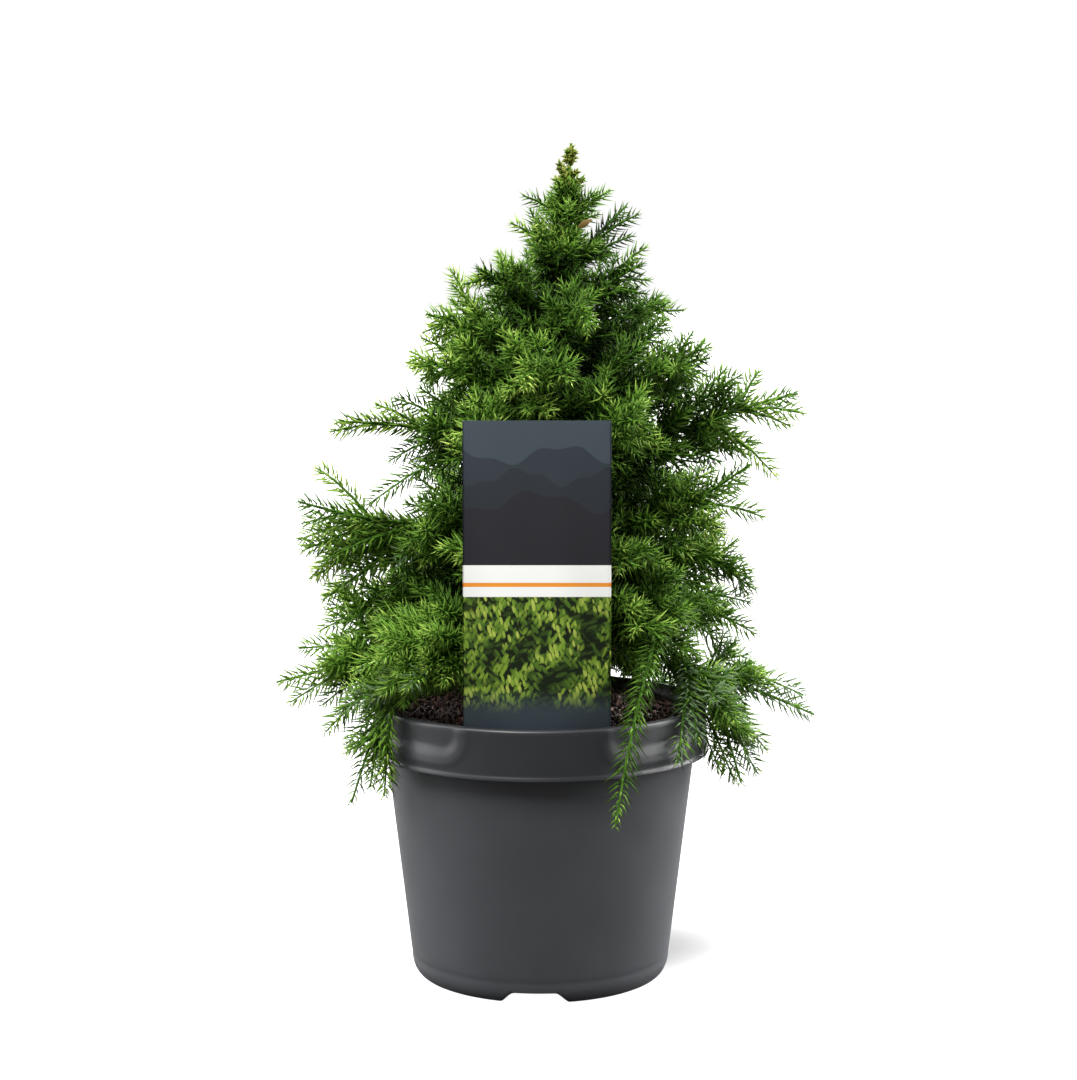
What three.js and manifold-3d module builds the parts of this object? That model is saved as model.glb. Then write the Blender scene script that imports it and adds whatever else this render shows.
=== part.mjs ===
// A young dwarf Japanese cedar (cryptomeria) in its nursery pot, in millimetres: +Z is up, +X is to the right
// and -Y is the front, where the plant label stands. The origin is the middle of the pot's underside. Every
// bough and every mass of foliage is worked out from the tiers below by one seeded rule.
import * as THREE from "three";
import { mergeVertices } from "three/addons/utils/BufferGeometryUtils.js";
import Module from "manifold-3d";

const wasm = await Module();
wasm.setup();

const RAD = Math.PI / 180;
const UP = new THREE.Vector3(0, 0, 1);
const CLEARANCE = 0.3; // between two solids that touch on the real plant

// ---- Pot: injection-moulded, with a turned-down rim, four thumb recesses and four drain notches ----
const POT_HEIGHT = 156.4;
const POT_WALL = 1.6;
const POT_TURN = -2.6; // degrees, of the notch that faces the front
const RIM_RADIUS = 95.5; // at the skirt's lower edge
const RIM_TOP_RADIUS = 93.6;
const RIM_SKIRT = 27.5; // height of the turned-down band
const RIM_ROUND = 1.8;
const BODY_TOP_RADIUS = 87.4; // outside, level with the skirt's lower edge
const BODY_FOOT_RADIUS = 73.3; // outside, where the round of the foot starts
const FOOT_RADIUS = 66; // outer edge of the flat underside
const FOOT_ROUND = 11; // height of the round between underside and wall
const FOOT_WIDTH = 3;
const FLOOR_UNDERSIDE = 8.5;
const FLOOR_THICKNESS = 2;
const CENTRE_FOOT_RADIUS = 12;
const NOTCH_HEIGHT = 7;
const NOTCH_HALF_ANGLE = 10.3;
const NOTCH_RAMP = 5.5; // degrees over which a notch's side slopes
const RECESS_DEPTH = 1.9;
const RECESS_HEIGHT = 14; // down from the rim's top
const RECESS_HALF_ANGLE = 17.5;
const RECESS_RAMP = 3;
const NOTCH_ANGLE = 0; // in each quarter turn
const RECESS_ANGLE = 45;

// ---- Potting soil ----
const SOIL_TOP = 148.4;
const SOIL_HILLOCK = 1.5;
const SOIL_GAP = 0.9; // the root ball has shrunk from the wall by this much
const SOIL_SIDES = 26;

// ---- Plant label: a stiff plastic card on a peg ----
const LABEL_WIDTH = 79;
const LABEL_TOP = 320;
const LABEL_FOOT = 151;
const LABEL_THICKNESS = 0.9;
const LABEL_Y = -78;
const LABEL_X = -1.9;
const LABEL_CORNER = 2.5;
const PEG_WIDTH = 20;
const PEG_POINT = 96;

// ---- Trunk ----
const TRUNK_TOP = 418;
const TRUNK_RADIUS = 6.4;
const TRUNK_TIP_RADIUS = 1.2;
const ROOT_FLARE = 3.8;
const FLARE_HEIGHT = 16;
const TRUNK_FOOT_X = 1;
const TRUNK_TOP_X = 13;
const TRUNK_SWAY = 2;
const LEADER_TOP = 469;
const LEADER_REACH = 20;

// ---- Tiers of boughs, lowest first. reach is the distance of the tips from the pot's axis and tip their
// height, each to the right, back, left and front; between those four sides they pass smoothly over. A stem
// rises by its lift, falls to its tip late where hang is large, and bends to its left by its bow, which is
// given for the four sides too. ----
const evenly = (count, first) => Array.from({ length: count }, (_, i) => first + (360 / count) * i);
const STRAIGHT = [0, 0, 0, 0];
const TIERS = [
  { name: "drape", bearings: [46, 140, 205, 292, 342], foot: 170, lift: 30, hang: 6.5, bow: [0, 0, 0, 40],
    bough: 0.3, reach: [120, 118, 121, 117], tip: [112, 112, 108, 105] },
  { name: "skirt", bearings: evenly(4, 4), foot: 195, lift: 4, hang: 1.3, bow: STRAIGHT,
    bough: 0.3, reach: [161, 142, 154, 68], tip: [146, 150, 165, 166] },
  { name: "low", bearings: evenly(5, 26), foot: 216, lift: 6, hang: 1.5, bow: STRAIGHT,
    bough: 0, reach: [132, 124, 128, 72], tip: [198, 196, 204, 206] },
  { name: "wide", bearings: evenly(6, 4), foot: 235, lift: 5, hang: 1, bow: STRAIGHT,
    bough: 0, reach: [120, 122, 137, 72], tip: [236, 240, 246, 246] },
  { name: "broad", bearings: evenly(5, -22), foot: 254, lift: -9, hang: 1, bow: STRAIGHT,
    bough: 0, reach: [139, 120, 144, 74], tip: [296, 278, 271, 284] },
  { name: "middle", bearings: evenly(6, 6), foot: 280, lift: 8, hang: 1, bow: STRAIGHT,
    bough: 0, reach: [150, 122, 120, 78], tip: [330, 314, 316, 318] },
  { name: "shoulder", bearings: evenly(5, -14), foot: 312, lift: 8, hang: 1, bow: STRAIGHT,
    bough: 0, reach: [103, 92, 83, 82], tip: [352, 348, 348, 350] },
  { name: "upper", bearings: evenly(4, 20), foot: 345, lift: 6, hang: 1, bow: STRAIGHT,
    bough: 0, reach: [81, 70, 71, 66], tip: [381, 378, 375, 380] },
  { name: "crown", bearings: evenly(3, -22), foot: 372, lift: 4, hang: 1, bow: STRAIGHT,
    bough: 0, reach: [66, 50, 54, 46], tip: [404, 404, 397, 404] },
  { name: "spire", bearings: evenly(3, 8), foot: 396, lift: 2, hang: 1, bow: STRAIGHT,
    bough: 0, reach: [54, 25, 15, 20], tip: [434, 421, 425, 434] },
];
const FOOT_STAGGER = 7; // boughs of a tier leave the trunk by turns this much above and below its height
const FOOT_PLAY = 1.5;
const TIP_PLAY = 2;
const BEARING_PLAY = 4; // degrees
const BOW_PLAY = 0.06; // sideways bend, as a share of a stem's length
const BOUGH_RADIUS = 2.7;
const BOUGH_TIP_RADIUS = 1.9;

// ---- Foliage: a mass is one stem with a dense inside and side shoots, and needles stand out of all ----
const TIP_NEEDLES = 4; // the needles at a stem's end stand out past it by this much
const STEM_RADIUS = 2.2; // where it is bare
const CORE_RADIUS = 10.5; // of the dense inside of a mass
const CORE_MARGIN = 2.5; // between the dense inside and the border of its space
const CORE_STEP = 26; // length of its facets
const SHOOT_RADIUS = 5;
const SHOOT_ROOT_RADIUS = 2.6;
const SHOOT_SPACING = 20;
const SHOOTS_FROM = 0.1; // share of a stem's length
const SHOOTS_TO = 0.9;
const SHOOT_ANGLE = 50 * RAD;
const SHOOT_LONGEST = 54;
const SHOOT_SHARE = 0.5; // of the stem's length
const SHOOT_TAPER = 0.6; // how much shorter the side shoots get along the stem
const SHOOT_SHORTEST = 13;
const SHOOT_LENGTH_PLAY = 0.15;
const SHOOT_FORWARD = 0.2; // how far a side shoot turns to its stem's direction
const SHOOT_DROOP = 0.16;
const SHOOT_RISE = 0.1;
const SHOOT_CUTS = [1, 0.8, 0.6, 0.45]; // the lengths tried for a side shoot that has too little space
const NEEDLE_LENGTH = 19;
const STEM_NEEDLE_LENGTH = 25;
const NEEDLE_CUTS = [1, 0.72];
const NEEDLE_RADIUS = 1.3;
const NEEDLE_SPACING = 14;
const NEEDLE_ANGLE = 42 * RAD;
const SHOOT_NEEDLES_FROM = 0.35; // share of a shoot's length
const STEM_NEEDLES_FROM = 0.5;
const NEEDLES_TO = 0.97;
const NEEDLE_ROLL = 30 * RAD; // the first needle's place round its shoot
const NEEDLE_ROLL_PLAY = 0.15;
const GOLDEN_ANGLE = 137.5 * RAD;
const REACH_MARGIN = 2;
const SITE_STEP = 7; // between the points of a stem that claim the space around them
const SPACE_MARGIN = 0.7;
const LIMB_MARGIN = 0.9;
const SHOOT_BODY = [0.3, 0.45, 0.7]; // shares of a shoot where its room is tested, and of its thin end
const SHOOT_END = [0.85, 1];
const NEEDLE_BODY = [0.35, 0.7, 1];
const BOUGH_BODY = [0.05, 0.15, 0.3, 0.45, 0.6, 0.75, 0.9, 1];

// ---- Helpers ----

/** A seeded stream of numbers from 0 to 1. */
function seeded(seed) {
  let state = seed >>> 0;
  return () => {
    state = (state + 0x6d2b79f5) >>> 0;
    let mixed = Math.imul(state ^ (state >>> 15), state | 1);
    mixed ^= mixed + Math.imul(mixed ^ (mixed >>> 7), mixed | 61);
    return ((mixed ^ (mixed >>> 14)) >>> 0) / 4294967296;
  };
}

/** A closed geometry as a solid for joining and cutting. */
function solidOf(geometry) {
  const bare = geometry.clone();
  bare.deleteAttribute("normal");
  bare.deleteAttribute("uv");
  const merged = mergeVertices(bare, 1e-4);
  const mesh = new wasm.Mesh({
    numProp: 3,
    vertProperties: merged.attributes.position.array,
    triVerts: new Uint32Array(merged.index.array),
  });
  return new wasm.Manifold(mesh);
}

/** A solid as a geometry with flat faces. */
function geometryOf(solid) {
  const mesh = solid.getMesh();
  const geometry = new THREE.BufferGeometry();
  geometry.setAttribute("position", new THREE.BufferAttribute(mesh.vertProperties, 3));
  geometry.setIndex(new THREE.BufferAttribute(mesh.triVerts, 1));
  return geometry;
}

/** The frame of a curve at t: its point, its direction, and two directions square to it. */
function frameAt(curve, t) {
  const along = curve.getTangent(t).normalize();
  const reference = Math.abs(along.z) > 0.97 ? new THREE.Vector3(1, 0, 0) : UP;
  const side = new THREE.Vector3().crossVectors(along, reference).normalize();
  const over = new THREE.Vector3().crossVectors(side, along);
  return { point: curve.getPoint(t), along, side, over };
}

/** A limb that follows a curve from one share of it to another. Its radius is given for each place and side,
 * and it may end in a point. */
function limb(curve, { from, to, sides, steps, pointed, radiusAt }) {
  const geometry = new THREE.CylinderGeometry(pointed ? 0 : 1, 1, 1, sides, steps);
  const place = geometry.attributes.position;
  for (let i = 0; i < place.count; i++) {
    const share = place.getY(i) + 0.5;
    const { point, side, over } = frameAt(curve, from + (to - from) * share);
    const outward = side.multiplyScalar(place.getX(i)).addScaledVector(over, place.getZ(i));
    if (outward.length() > 1e-6) {
      outward.normalize();
      point.addScaledVector(outward, radiusAt(share, point, outward));
    }
    place.setXYZ(i, point.x, point.y, point.z);
  }
  return geometry;
}

/** The value of four sides (right, back, left, front) at an angle between them. */
function bySide(values, angle) {
  const turn = ((angle / 90) % 4 + 4) % 4;
  const index = Math.floor(turn);
  const ease = (1 - Math.cos((turn - index) * Math.PI)) / 2;
  return values[index] * (1 - ease) + values[(index + 1) % 4] * ease;
}

// ---- Trunk ----

/** The middle of the trunk at a height. */
function trunkPoint(z) {
  const share = (z - SOIL_TOP) / (TRUNK_TOP - SOIL_TOP);
  const x = TRUNK_FOOT_X + (TRUNK_TOP_X - TRUNK_FOOT_X) * share;
  const sway = TRUNK_SWAY * Math.sin(share * Math.PI * 2);
  return new THREE.Vector3(x + sway, sway * 0.6, z);
}

/** The trunk's radius at a height, with the flare over its roots. */
function trunkRadius(z) {
  const share = (z - SOIL_TOP) / (TRUNK_TOP - SOIL_TOP);
  const flare = ROOT_FLARE * Math.max(0, 1 - (z - SOIL_TOP) / FLARE_HEIGHT) ** 2;
  return TRUNK_RADIUS + (TRUNK_TIP_RADIUS - TRUNK_RADIUS) * share ** 0.85 + flare;
}

/** The trunk's solid, grown all round by a clearance. */
function trunkSolid(grown) {
  const foot = SOIL_TOP + CLEARANCE - grown * 2;
  const levels = 14;
  const sides = 8;
  const geometry = new THREE.CylinderGeometry(1, 1, 1, sides, levels);
  geometry.rotateX(90 * RAD);
  const place = geometry.attributes.position;
  for (let i = 0; i < place.count; i++) {
    const share = (place.getZ(i) + 0.5) ** 1.25;
    const z = foot + (TRUNK_TOP + grown * 2 - foot) * share;
    const level = Math.max(z, SOIL_TOP);
    const middle = trunkPoint(level);
    const radius = trunkRadius(level) + grown;
    place.setXYZ(i, middle.x + place.getX(i) * radius, middle.y + place.getY(i) * radius, z);
  }
  return solidOf(geometry);
}

// ---- Stems: one for each bough and its mass ----

/** A stem's line from the trunk to its tip. */
class StemCurve extends THREE.Curve {
  constructor(foot, tip, { lift, hang, bow }) {
    super();
    this.foot = foot;
    this.tip = tip;
    this.lift = lift;
    this.hang = hang;
    this.across = new THREE.Vector3(foot.y - tip.y, tip.x - foot.x, 0).normalize().multiplyScalar(bow);
  }

  getPoint(t, target = new THREE.Vector3()) {
    target.lerpVectors(this.foot, this.tip, t).addScaledVector(this.across, Math.sin(t * Math.PI));
    target.z = this.foot.z + (this.tip.z - this.foot.z) * t ** this.hang + this.lift * 4 * t * (1 - t);
    return target;
  }
}

/** A side shoot's line: straight out from its stem, then drawn towards the light or down by its weight. */
class ShootCurve extends THREE.Curve {
  constructor(foot, direction, length, bend) {
    super();
    this.foot = foot;
    this.out = direction.clone().multiplyScalar(length);
    this.bend = bend.clone().multiplyScalar(length);
  }

  getPoint(t, target = new THREE.Vector3()) {
    return target.copy(this.foot).addScaledVector(this.out, t).addScaledVector(this.bend, t * t);
  }
}

/** The stems of all tiers and the leader, from the lowest tier up. */
function makeStems() {
  const stems = [];
  TIERS.forEach((tier, level) => {
    tier.bearings.forEach((bearing, i) => {
      const random = seeded(100 * (level + 1) + i);
      const play = (most) => (random() - 0.5) * 2 * most;
      const angle = bearing + play(BEARING_PLAY);
      const reach = bySide(tier.reach, angle) - TIP_NEEDLES;
      const height = bySide(tier.tip, angle) + play(TIP_PLAY);
      const stagger = (i % 2 ? FOOT_STAGGER : -FOOT_STAGGER) + play(FOOT_PLAY);
      const tip = new THREE.Vector3(Math.cos(angle * RAD) * reach, Math.sin(angle * RAD) * reach, height);
      const foot = trunkPoint(tier.foot + stagger);
      const bow = bySide(tier.bow, angle) + play(BOW_PLAY) * foot.distanceTo(tip);
      const curve = new StemCurve(foot, tip, { lift: tier.lift, hang: tier.hang, bow });
      stems.push({ name: `${tier.name}_${i + 1}`, bough: tier.bough, curve, random });
    });
  });
  const straight = { lift: 0, hang: 1, bow: 0 };
  const leader = new StemCurve(trunkPoint(TRUNK_TOP), trunkPoint(LEADER_TOP), straight);
  stems.push({ name: "leader", bough: 0, curve: leader, random: seeded(900) });
  for (const stem of stems) {
    stem.length = stem.curve.getLength();
    stem.start = stem.bough ? stem.bough + CLEARANCE / stem.length : leavesTrunkAt(stem);
  }
  return stems;
}

/** Where along its line a stem comes out of the trunk. */
function leavesTrunkAt({ curve, length }) {
  for (let t = 0; t < 0.5; t += 1 / length) {
    const point = curve.getPoint(t);
    const middle = trunkPoint(Math.min(point.z, TRUNK_TOP));
    const away = Math.hypot(point.x - middle.x, point.y - middle.y);
    if (point.z > TRUNK_TOP + CLEARANCE || away > trunkRadius(Math.min(point.z, TRUNK_TOP)) * 0.6) return t;
  }
  return 0;
}

// ---- Room: each mass keeps the space that lies nearest its own stem ----

/** Points along every stem, each with the stem's number. */
function claimSpace(stems) {
  const sites = [];
  stems.forEach((stem, index) => {
    const steps = Math.max(2, Math.round(stem.length / SITE_STEP));
    for (let i = 0; i <= steps; i++) {
      const t = stem.start + ((1 - stem.start) * i) / steps;
      sites.push({ index, point: stem.curve.getPoint(t) });
    }
  });
  return sites;
}

/** How far a point lies inside its stem's own space: half of this is the way to the border. */
function roomAt(point, index, sites) {
  let own = Infinity;
  let other = Infinity;
  for (const site of sites) {
    const distance = site.point.distanceTo(point);
    if (site.index === index) own = Math.min(own, distance);
    else other = Math.min(other, distance);
  }
  return other - own;
}

/** Whether a point keeps a distance from the pot, the soil, the label and the trunk. */
function clearOfFixtures(point, distance) {
  const radius = Math.hypot(point.x, point.y);
  const overSoil = radius < wallRadius(POT_HEIGHT) - POT_WALL - distance;
  const ground = overSoil ? SOIL_TOP + SOIL_HILLOCK : POT_HEIGHT;
  if (radius < RIM_RADIUS + distance && point.z < ground + distance) return false;
  const beside = Math.abs(point.x - LABEL_X) > LABEL_WIDTH / 2 + distance;
  const behind = point.y > LABEL_Y + LABEL_THICKNESS + distance;
  const atCard = point.z < LABEL_TOP + distance && point.z > LABEL_FOOT - distance;
  if (atCard && !beside && !behind) return false;
  if (point.z > TRUNK_TOP + distance) return true;
  const level = Math.min(point.z, TRUNK_TOP);
  const middle = trunkPoint(level);
  return Math.hypot(point.x - middle.x, point.y - middle.y) > trunkRadius(level) + distance;
}

/** The crown's reach at a height and an angle: it passes straight from the tips of one tier to the next. */
function reachAt(angle, z) {
  const outline = TIERS.map((tier) => [bySide(tier.tip, angle), bySide(tier.reach, angle)]);
  outline.push([LEADER_TOP, LEADER_REACH]);
  const above = outline.findIndex(([height]) => height > z);
  if (above === 0) return outline[0][1];
  if (above < 0) return 0;
  const [low, lowReach] = outline[above - 1];
  const [high, highReach] = outline[above];
  return lowReach + ((highReach - lowReach) * (z - low)) / (high - low);
}

/** Whether a piece of a mass, given as points on its line, keeps to its space and off every limb. */
function fits(points, thickness, index, plan) {
  return points.every((point) => {
    if (roomAt(point, index, plan.sites) < 2 * thickness + SPACE_MARGIN) return false;
    if (!clearOfFixtures(point, thickness + LIMB_MARGIN)) return false;
    const angle = Math.atan2(point.y, point.x) / RAD;
    if (Math.hypot(point.x, point.y) > reachAt(angle, point.z) + REACH_MARGIN) return false;
    return plan.boughPoints.every((limbPoint) => {
      return limbPoint.distanceTo(point) > BOUGH_RADIUS + thickness + LIMB_MARGIN;
    });
  });
}

// ---- Growing a mass ----

/** The direction that leaves a line at an angle to it, on the side given by a roll round it. */
function aslant({ along, side, over }, angle, roll) {
  const outward = side.clone().multiplyScalar(Math.cos(roll)).addScaledVector(over, Math.sin(roll));
  return along.clone().multiplyScalar(Math.cos(angle)).addScaledVector(outward, Math.sin(angle));
}

/** The side shoots of a stem, all round it by the golden angle, shorter towards its tip. */
function growShoots(stem, index, plan) {
  const shoots = [];
  const leafy = stem.length * (1 - stem.start);
  const count = Math.max(2, Math.round(leafy / SHOOT_SPACING));
  const longest = Math.min(SHOOT_LONGEST, leafy * SHOOT_SHARE);
  for (let i = 0; i < count; i++) {
    const share = SHOOTS_FROM + ((SHOOTS_TO - SHOOTS_FROM) * (i + 0.35 + 0.3 * stem.random())) / count;
    const size = (1 - SHOOT_TAPER * share) * (1 + SHOOT_LENGTH_PLAY * (2 * stem.random() - 1));
    const place = frameAt(stem.curve, stem.start + (1 - stem.start) * share);
    const direction = aslant(place, SHOOT_ANGLE, (i + index) * GOLDEN_ANGLE);
    const turn = -SHOOT_DROOP + (SHOOT_DROOP + SHOOT_RISE) * stem.random();
    const bend = place.along.clone().multiplyScalar(SHOOT_FORWARD).addScaledVector(UP, turn);
    for (const cut of SHOOT_CUTS) {
      const length = longest * size * cut;
      const curve = new ShootCurve(place.point, direction, length, bend);
      const body = SHOOT_BODY.map((t) => curve.getPoint(t));
      const end = SHOOT_END.map((t) => curve.getPoint(t));
      if (length < SHOOT_SHORTEST || !fits(body, SHOOT_RADIUS * 0.8, index, plan)) continue;
      if (!fits(end, SHOOT_RADIUS * 0.2, index, plan)) continue;
      shoots.push({ curve, length, start: 0 });
      break;
    }
  }
  return shoots;
}

/** Needles all round a shoot, each from the middle of one of its three faces, slanting towards its tip. */
function growNeedles(shoot, { fullLength, from }, index, plan, random) {
  const needles = [];
  const leafy = shoot.length * (1 - shoot.start) * (1 - from);
  const count = Math.max(3, Math.round(leafy / NEEDLE_SPACING));
  for (let i = 0; i < count; i++) {
    const share = from + ((NEEDLES_TO - from) * (i + 0.5)) / count;
    const roll = NEEDLE_ROLL + 120 * RAD * i + (2 * random() - 1) * NEEDLE_ROLL_PLAY;
    const slant = NEEDLE_ANGLE * (1.15 - 0.4 * share) * (0.9 + 0.2 * random());
    const place = frameAt(shoot.curve, shoot.start + (1 - shoot.start) * share);
    const direction = aslant(place, slant, roll);
    for (const cut of NEEDLE_CUTS) {
      const length = fullLength * cut;
      const line = NEEDLE_BODY.map((t) => place.point.clone().addScaledVector(direction, length * t));
      if (!fits(line, NEEDLE_RADIUS * 0.5, index, plan)) continue;
      needles.push({ point: place.point, direction, length });
      break;
    }
  }
  return needles;
}

/** One needle's solid: a slim three-sided point whose root is sunk in the shoot. */
function needleSolid({ point, direction, length }) {
  const geometry = new THREE.ConeGeometry(NEEDLE_RADIUS, length, 3, 1);
  geometry.translate(0, length / 2, 0);
  const turn = new THREE.Quaternion().setFromUnitVectors(new THREE.Vector3(0, 1, 0), direction);
  geometry.applyQuaternion(turn);
  geometry.translate(point.x, point.y, point.z);
  return solidOf(geometry);
}

/** The radius of a mass's dense inside: bare at the root, widest past the middle, and within its space. */
function coreRadius(index, plan) {
  return (share, point, outward) => {
    const swell = Math.sin(Math.PI * share ** 0.8) * (0.85 + 0.15 * Math.sin(share * 17 + index));
    const full = STEM_RADIUS + (CORE_RADIUS - STEM_RADIUS) * swell;
    for (let radius = full; radius > STEM_RADIUS; radius -= 1) {
      const surface = point.clone().addScaledVector(outward, radius);
      if (fits([surface], CORE_MARGIN, index, plan)) return radius;
    }
    return STEM_RADIUS;
  };
}

/** A side shoot's radius: widest before its middle, and drawn out to a point. */
function shootRadius(share) {
  if (share < 0.5) return SHOOT_ROOT_RADIUS + (SHOOT_RADIUS - SHOOT_ROOT_RADIUS) * share * 2;
  return SHOOT_RADIUS * (1 - share) * 2;
}

/** A mass of foliage: its dense inside, side shoots and needles joined, and cut clear of the trunk. */
function massSolid(stem, index, plan, trunkClear) {
  const steps = Math.max(3, Math.round((stem.length * (1 - stem.start)) / CORE_STEP));
  const core = { from: stem.start, to: 1, sides: 5, steps, pointed: true, radiusAt: coreRadius(index, plan) };
  const slim = { from: 0, to: 1, sides: 3, steps: 2, pointed: true, radiusAt: shootRadius };
  const onStem = { fullLength: STEM_NEEDLE_LENGTH, from: STEM_NEEDLES_FROM };
  const onShoot = { fullLength: NEEDLE_LENGTH, from: SHOOT_NEEDLES_FROM };
  const pieces = [solidOf(limb(stem.curve, core))];
  const shoots = growShoots(stem, index, plan);
  const needles = growNeedles(stem, onStem, index, plan, stem.random);
  for (const shoot of shoots) {
    pieces.push(solidOf(limb(shoot.curve, slim)));
    needles.push(...growNeedles(shoot, onShoot, index, plan, stem.random));
  }
  pieces.push(...needles.map(needleSolid));
  const joined = wasm.Manifold.union(pieces);
  const cut = stem.bough ? joined : joined.subtract(trunkClear);
  return cut.decompose().sort((a, b) => b.volume() - a.volume())[0];
}

/** A bough: one tapering limb from the trunk to where its mass begins. */
function boughSolid(stem, trunkClear) {
  const radiusAt = (share) => BOUGH_RADIUS + (BOUGH_TIP_RADIUS - BOUGH_RADIUS) * share;
  const limbShape = { from: 0, to: stem.bough, sides: 5, steps: 3, pointed: false, radiusAt };
  return solidOf(limb(stem.curve, limbShape)).subtract(trunkClear);
}

// ---- Pot ----

/** How far an angle is into the details that repeat each quarter turn, from 0 outside to 1 inside. */
function within(angle, centre, halfAngle, ramp) {
  const off = Math.abs(((angle - centre + 45) % 90 + 90) % 90 - 45);
  return THREE.MathUtils.clamp((halfAngle + ramp - off) / ramp, 0, 1);
}

/** The angles of the pot's facets: some fall on the borders of the notches and recesses. */
function facetAngles() {
  const quarter = [];
  for (const off of [0, NOTCH_HALF_ANGLE, NOTCH_HALF_ANGLE + NOTCH_RAMP]) quarter.push(NOTCH_ANGLE + off);
  for (const off of [RECESS_HALF_ANGLE + RECESS_RAMP, RECESS_HALF_ANGLE, RECESS_HALF_ANGLE / 2]) {
    quarter.push(RECESS_ANGLE - off, RECESS_ANGLE + off);
  }
  quarter.push(RECESS_ANGLE);
  for (const off of [NOTCH_HALF_ANGLE + NOTCH_RAMP, NOTCH_HALF_ANGLE]) quarter.push(90 + NOTCH_ANGLE - off);
  quarter.sort((a, b) => a - b);
  return [0, 90, 180, 270].flatMap((turn) => quarter.map((angle) => turn + angle));
}

/** The radius of the pot's outer wall at a height. */
function wallRadius(z) {
  const skirtFoot = POT_HEIGHT - RIM_SKIRT;
  const slope = (BODY_TOP_RADIUS - BODY_FOOT_RADIUS) / (skirtFoot - FOOT_ROUND);
  return BODY_FOOT_RADIUS + (z - FOOT_ROUND) * slope;
}

/** The radius of the rim's band at a height. */
function bandRadius(z) {
  return RIM_TOP_RADIUS + ((RIM_RADIUS - RIM_TOP_RADIUS) * (POT_HEIGHT - z)) / RIM_SKIRT;
}

/** The pot's section as [radius, height, detail]: detail names what moves a point at some angles. */
function potSection() {
  const skirtFoot = POT_HEIGHT - RIM_SKIRT;
  const underRim = POT_HEIGHT - POT_WALL;
  const recessFoot = POT_HEIGHT - RECESS_HEIGHT;
  const recessSlope = 2;
  const floorTop = FLOOR_UNDERSIDE + FLOOR_THICKNESS;
  const footRound = [0.25, 0.55, 1].map((share) => {
    const radius = FOOT_RADIUS + (BODY_FOOT_RADIUS - FOOT_RADIUS) * Math.sin(share * 90 * RAD);
    return [radius, FOOT_ROUND * (1 - Math.cos(share * 90 * RAD)), "notch"];
  });
  return [
    [0, 0, ""],
    [CENTRE_FOOT_RADIUS, 0, ""],
    [CENTRE_FOOT_RADIUS + 3, FLOOR_UNDERSIDE, ""],
    [FOOT_RADIUS - FOOT_WIDTH - 1, FLOOR_UNDERSIDE, ""],
    [FOOT_RADIUS - FOOT_WIDTH, 0, "notch"],
    [FOOT_RADIUS, 0, "notch"],
    ...footRound,
    [wallRadius(underRim), underRim, ""],
    [RIM_TOP_RADIUS - POT_WALL, underRim, "recess"],
    [bandRadius(recessFoot) - POT_WALL, recessFoot, "recess"],
    [bandRadius(recessFoot - recessSlope) - POT_WALL, recessFoot - recessSlope, ""],
    [RIM_RADIUS - POT_WALL, skirtFoot, ""],
    [RIM_RADIUS, skirtFoot, ""],
    [bandRadius(recessFoot - recessSlope), recessFoot - recessSlope, ""],
    [bandRadius(recessFoot), recessFoot, "recess"],
    [RIM_TOP_RADIUS, POT_HEIGHT - RIM_ROUND, "recess"],
    [RIM_TOP_RADIUS - RIM_ROUND, POT_HEIGHT, "recess"],
    [wallRadius(POT_HEIGHT) - POT_WALL, POT_HEIGHT, ""],
    [BODY_FOOT_RADIUS - POT_WALL, FOOT_ROUND, ""],
    [BODY_FOOT_RADIUS - POT_WALL - 3, floorTop, ""],
    [0, floorTop, ""],
  ];
}

/** The pot: its section turned about the axis, with the notches raised and the recesses set in. */
function potGeometry() {
  const section = potSection();
  const angles = facetAngles();
  const profile = section.map(([radius, height]) => new THREE.Vector2(radius, height));
  const geometry = new THREE.LatheGeometry(profile, angles.length);
  const place = geometry.attributes.position;
  for (let i = 0; i < place.count; i++) {
    const [radius, height, detail] = section[i % section.length];
    const angle = angles[Math.floor(i / section.length) % angles.length];
    const notched = detail === "notch" ? within(angle, NOTCH_ANGLE, NOTCH_HALF_ANGLE, NOTCH_RAMP) : 0;
    const inset = detail === "recess" ? within(angle, RECESS_ANGLE, RECESS_HALF_ANGLE, RECESS_RAMP) : 0;
    const turned = (angle + POT_TURN) * RAD;
    const r = radius - inset * RECESS_DEPTH;
    place.setXYZ(i, Math.cos(turned) * r, Math.sin(turned) * r, Math.max(height, notched * NOTCH_HEIGHT));
  }
  return geometry;
}

// ---- Soil ----

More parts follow.
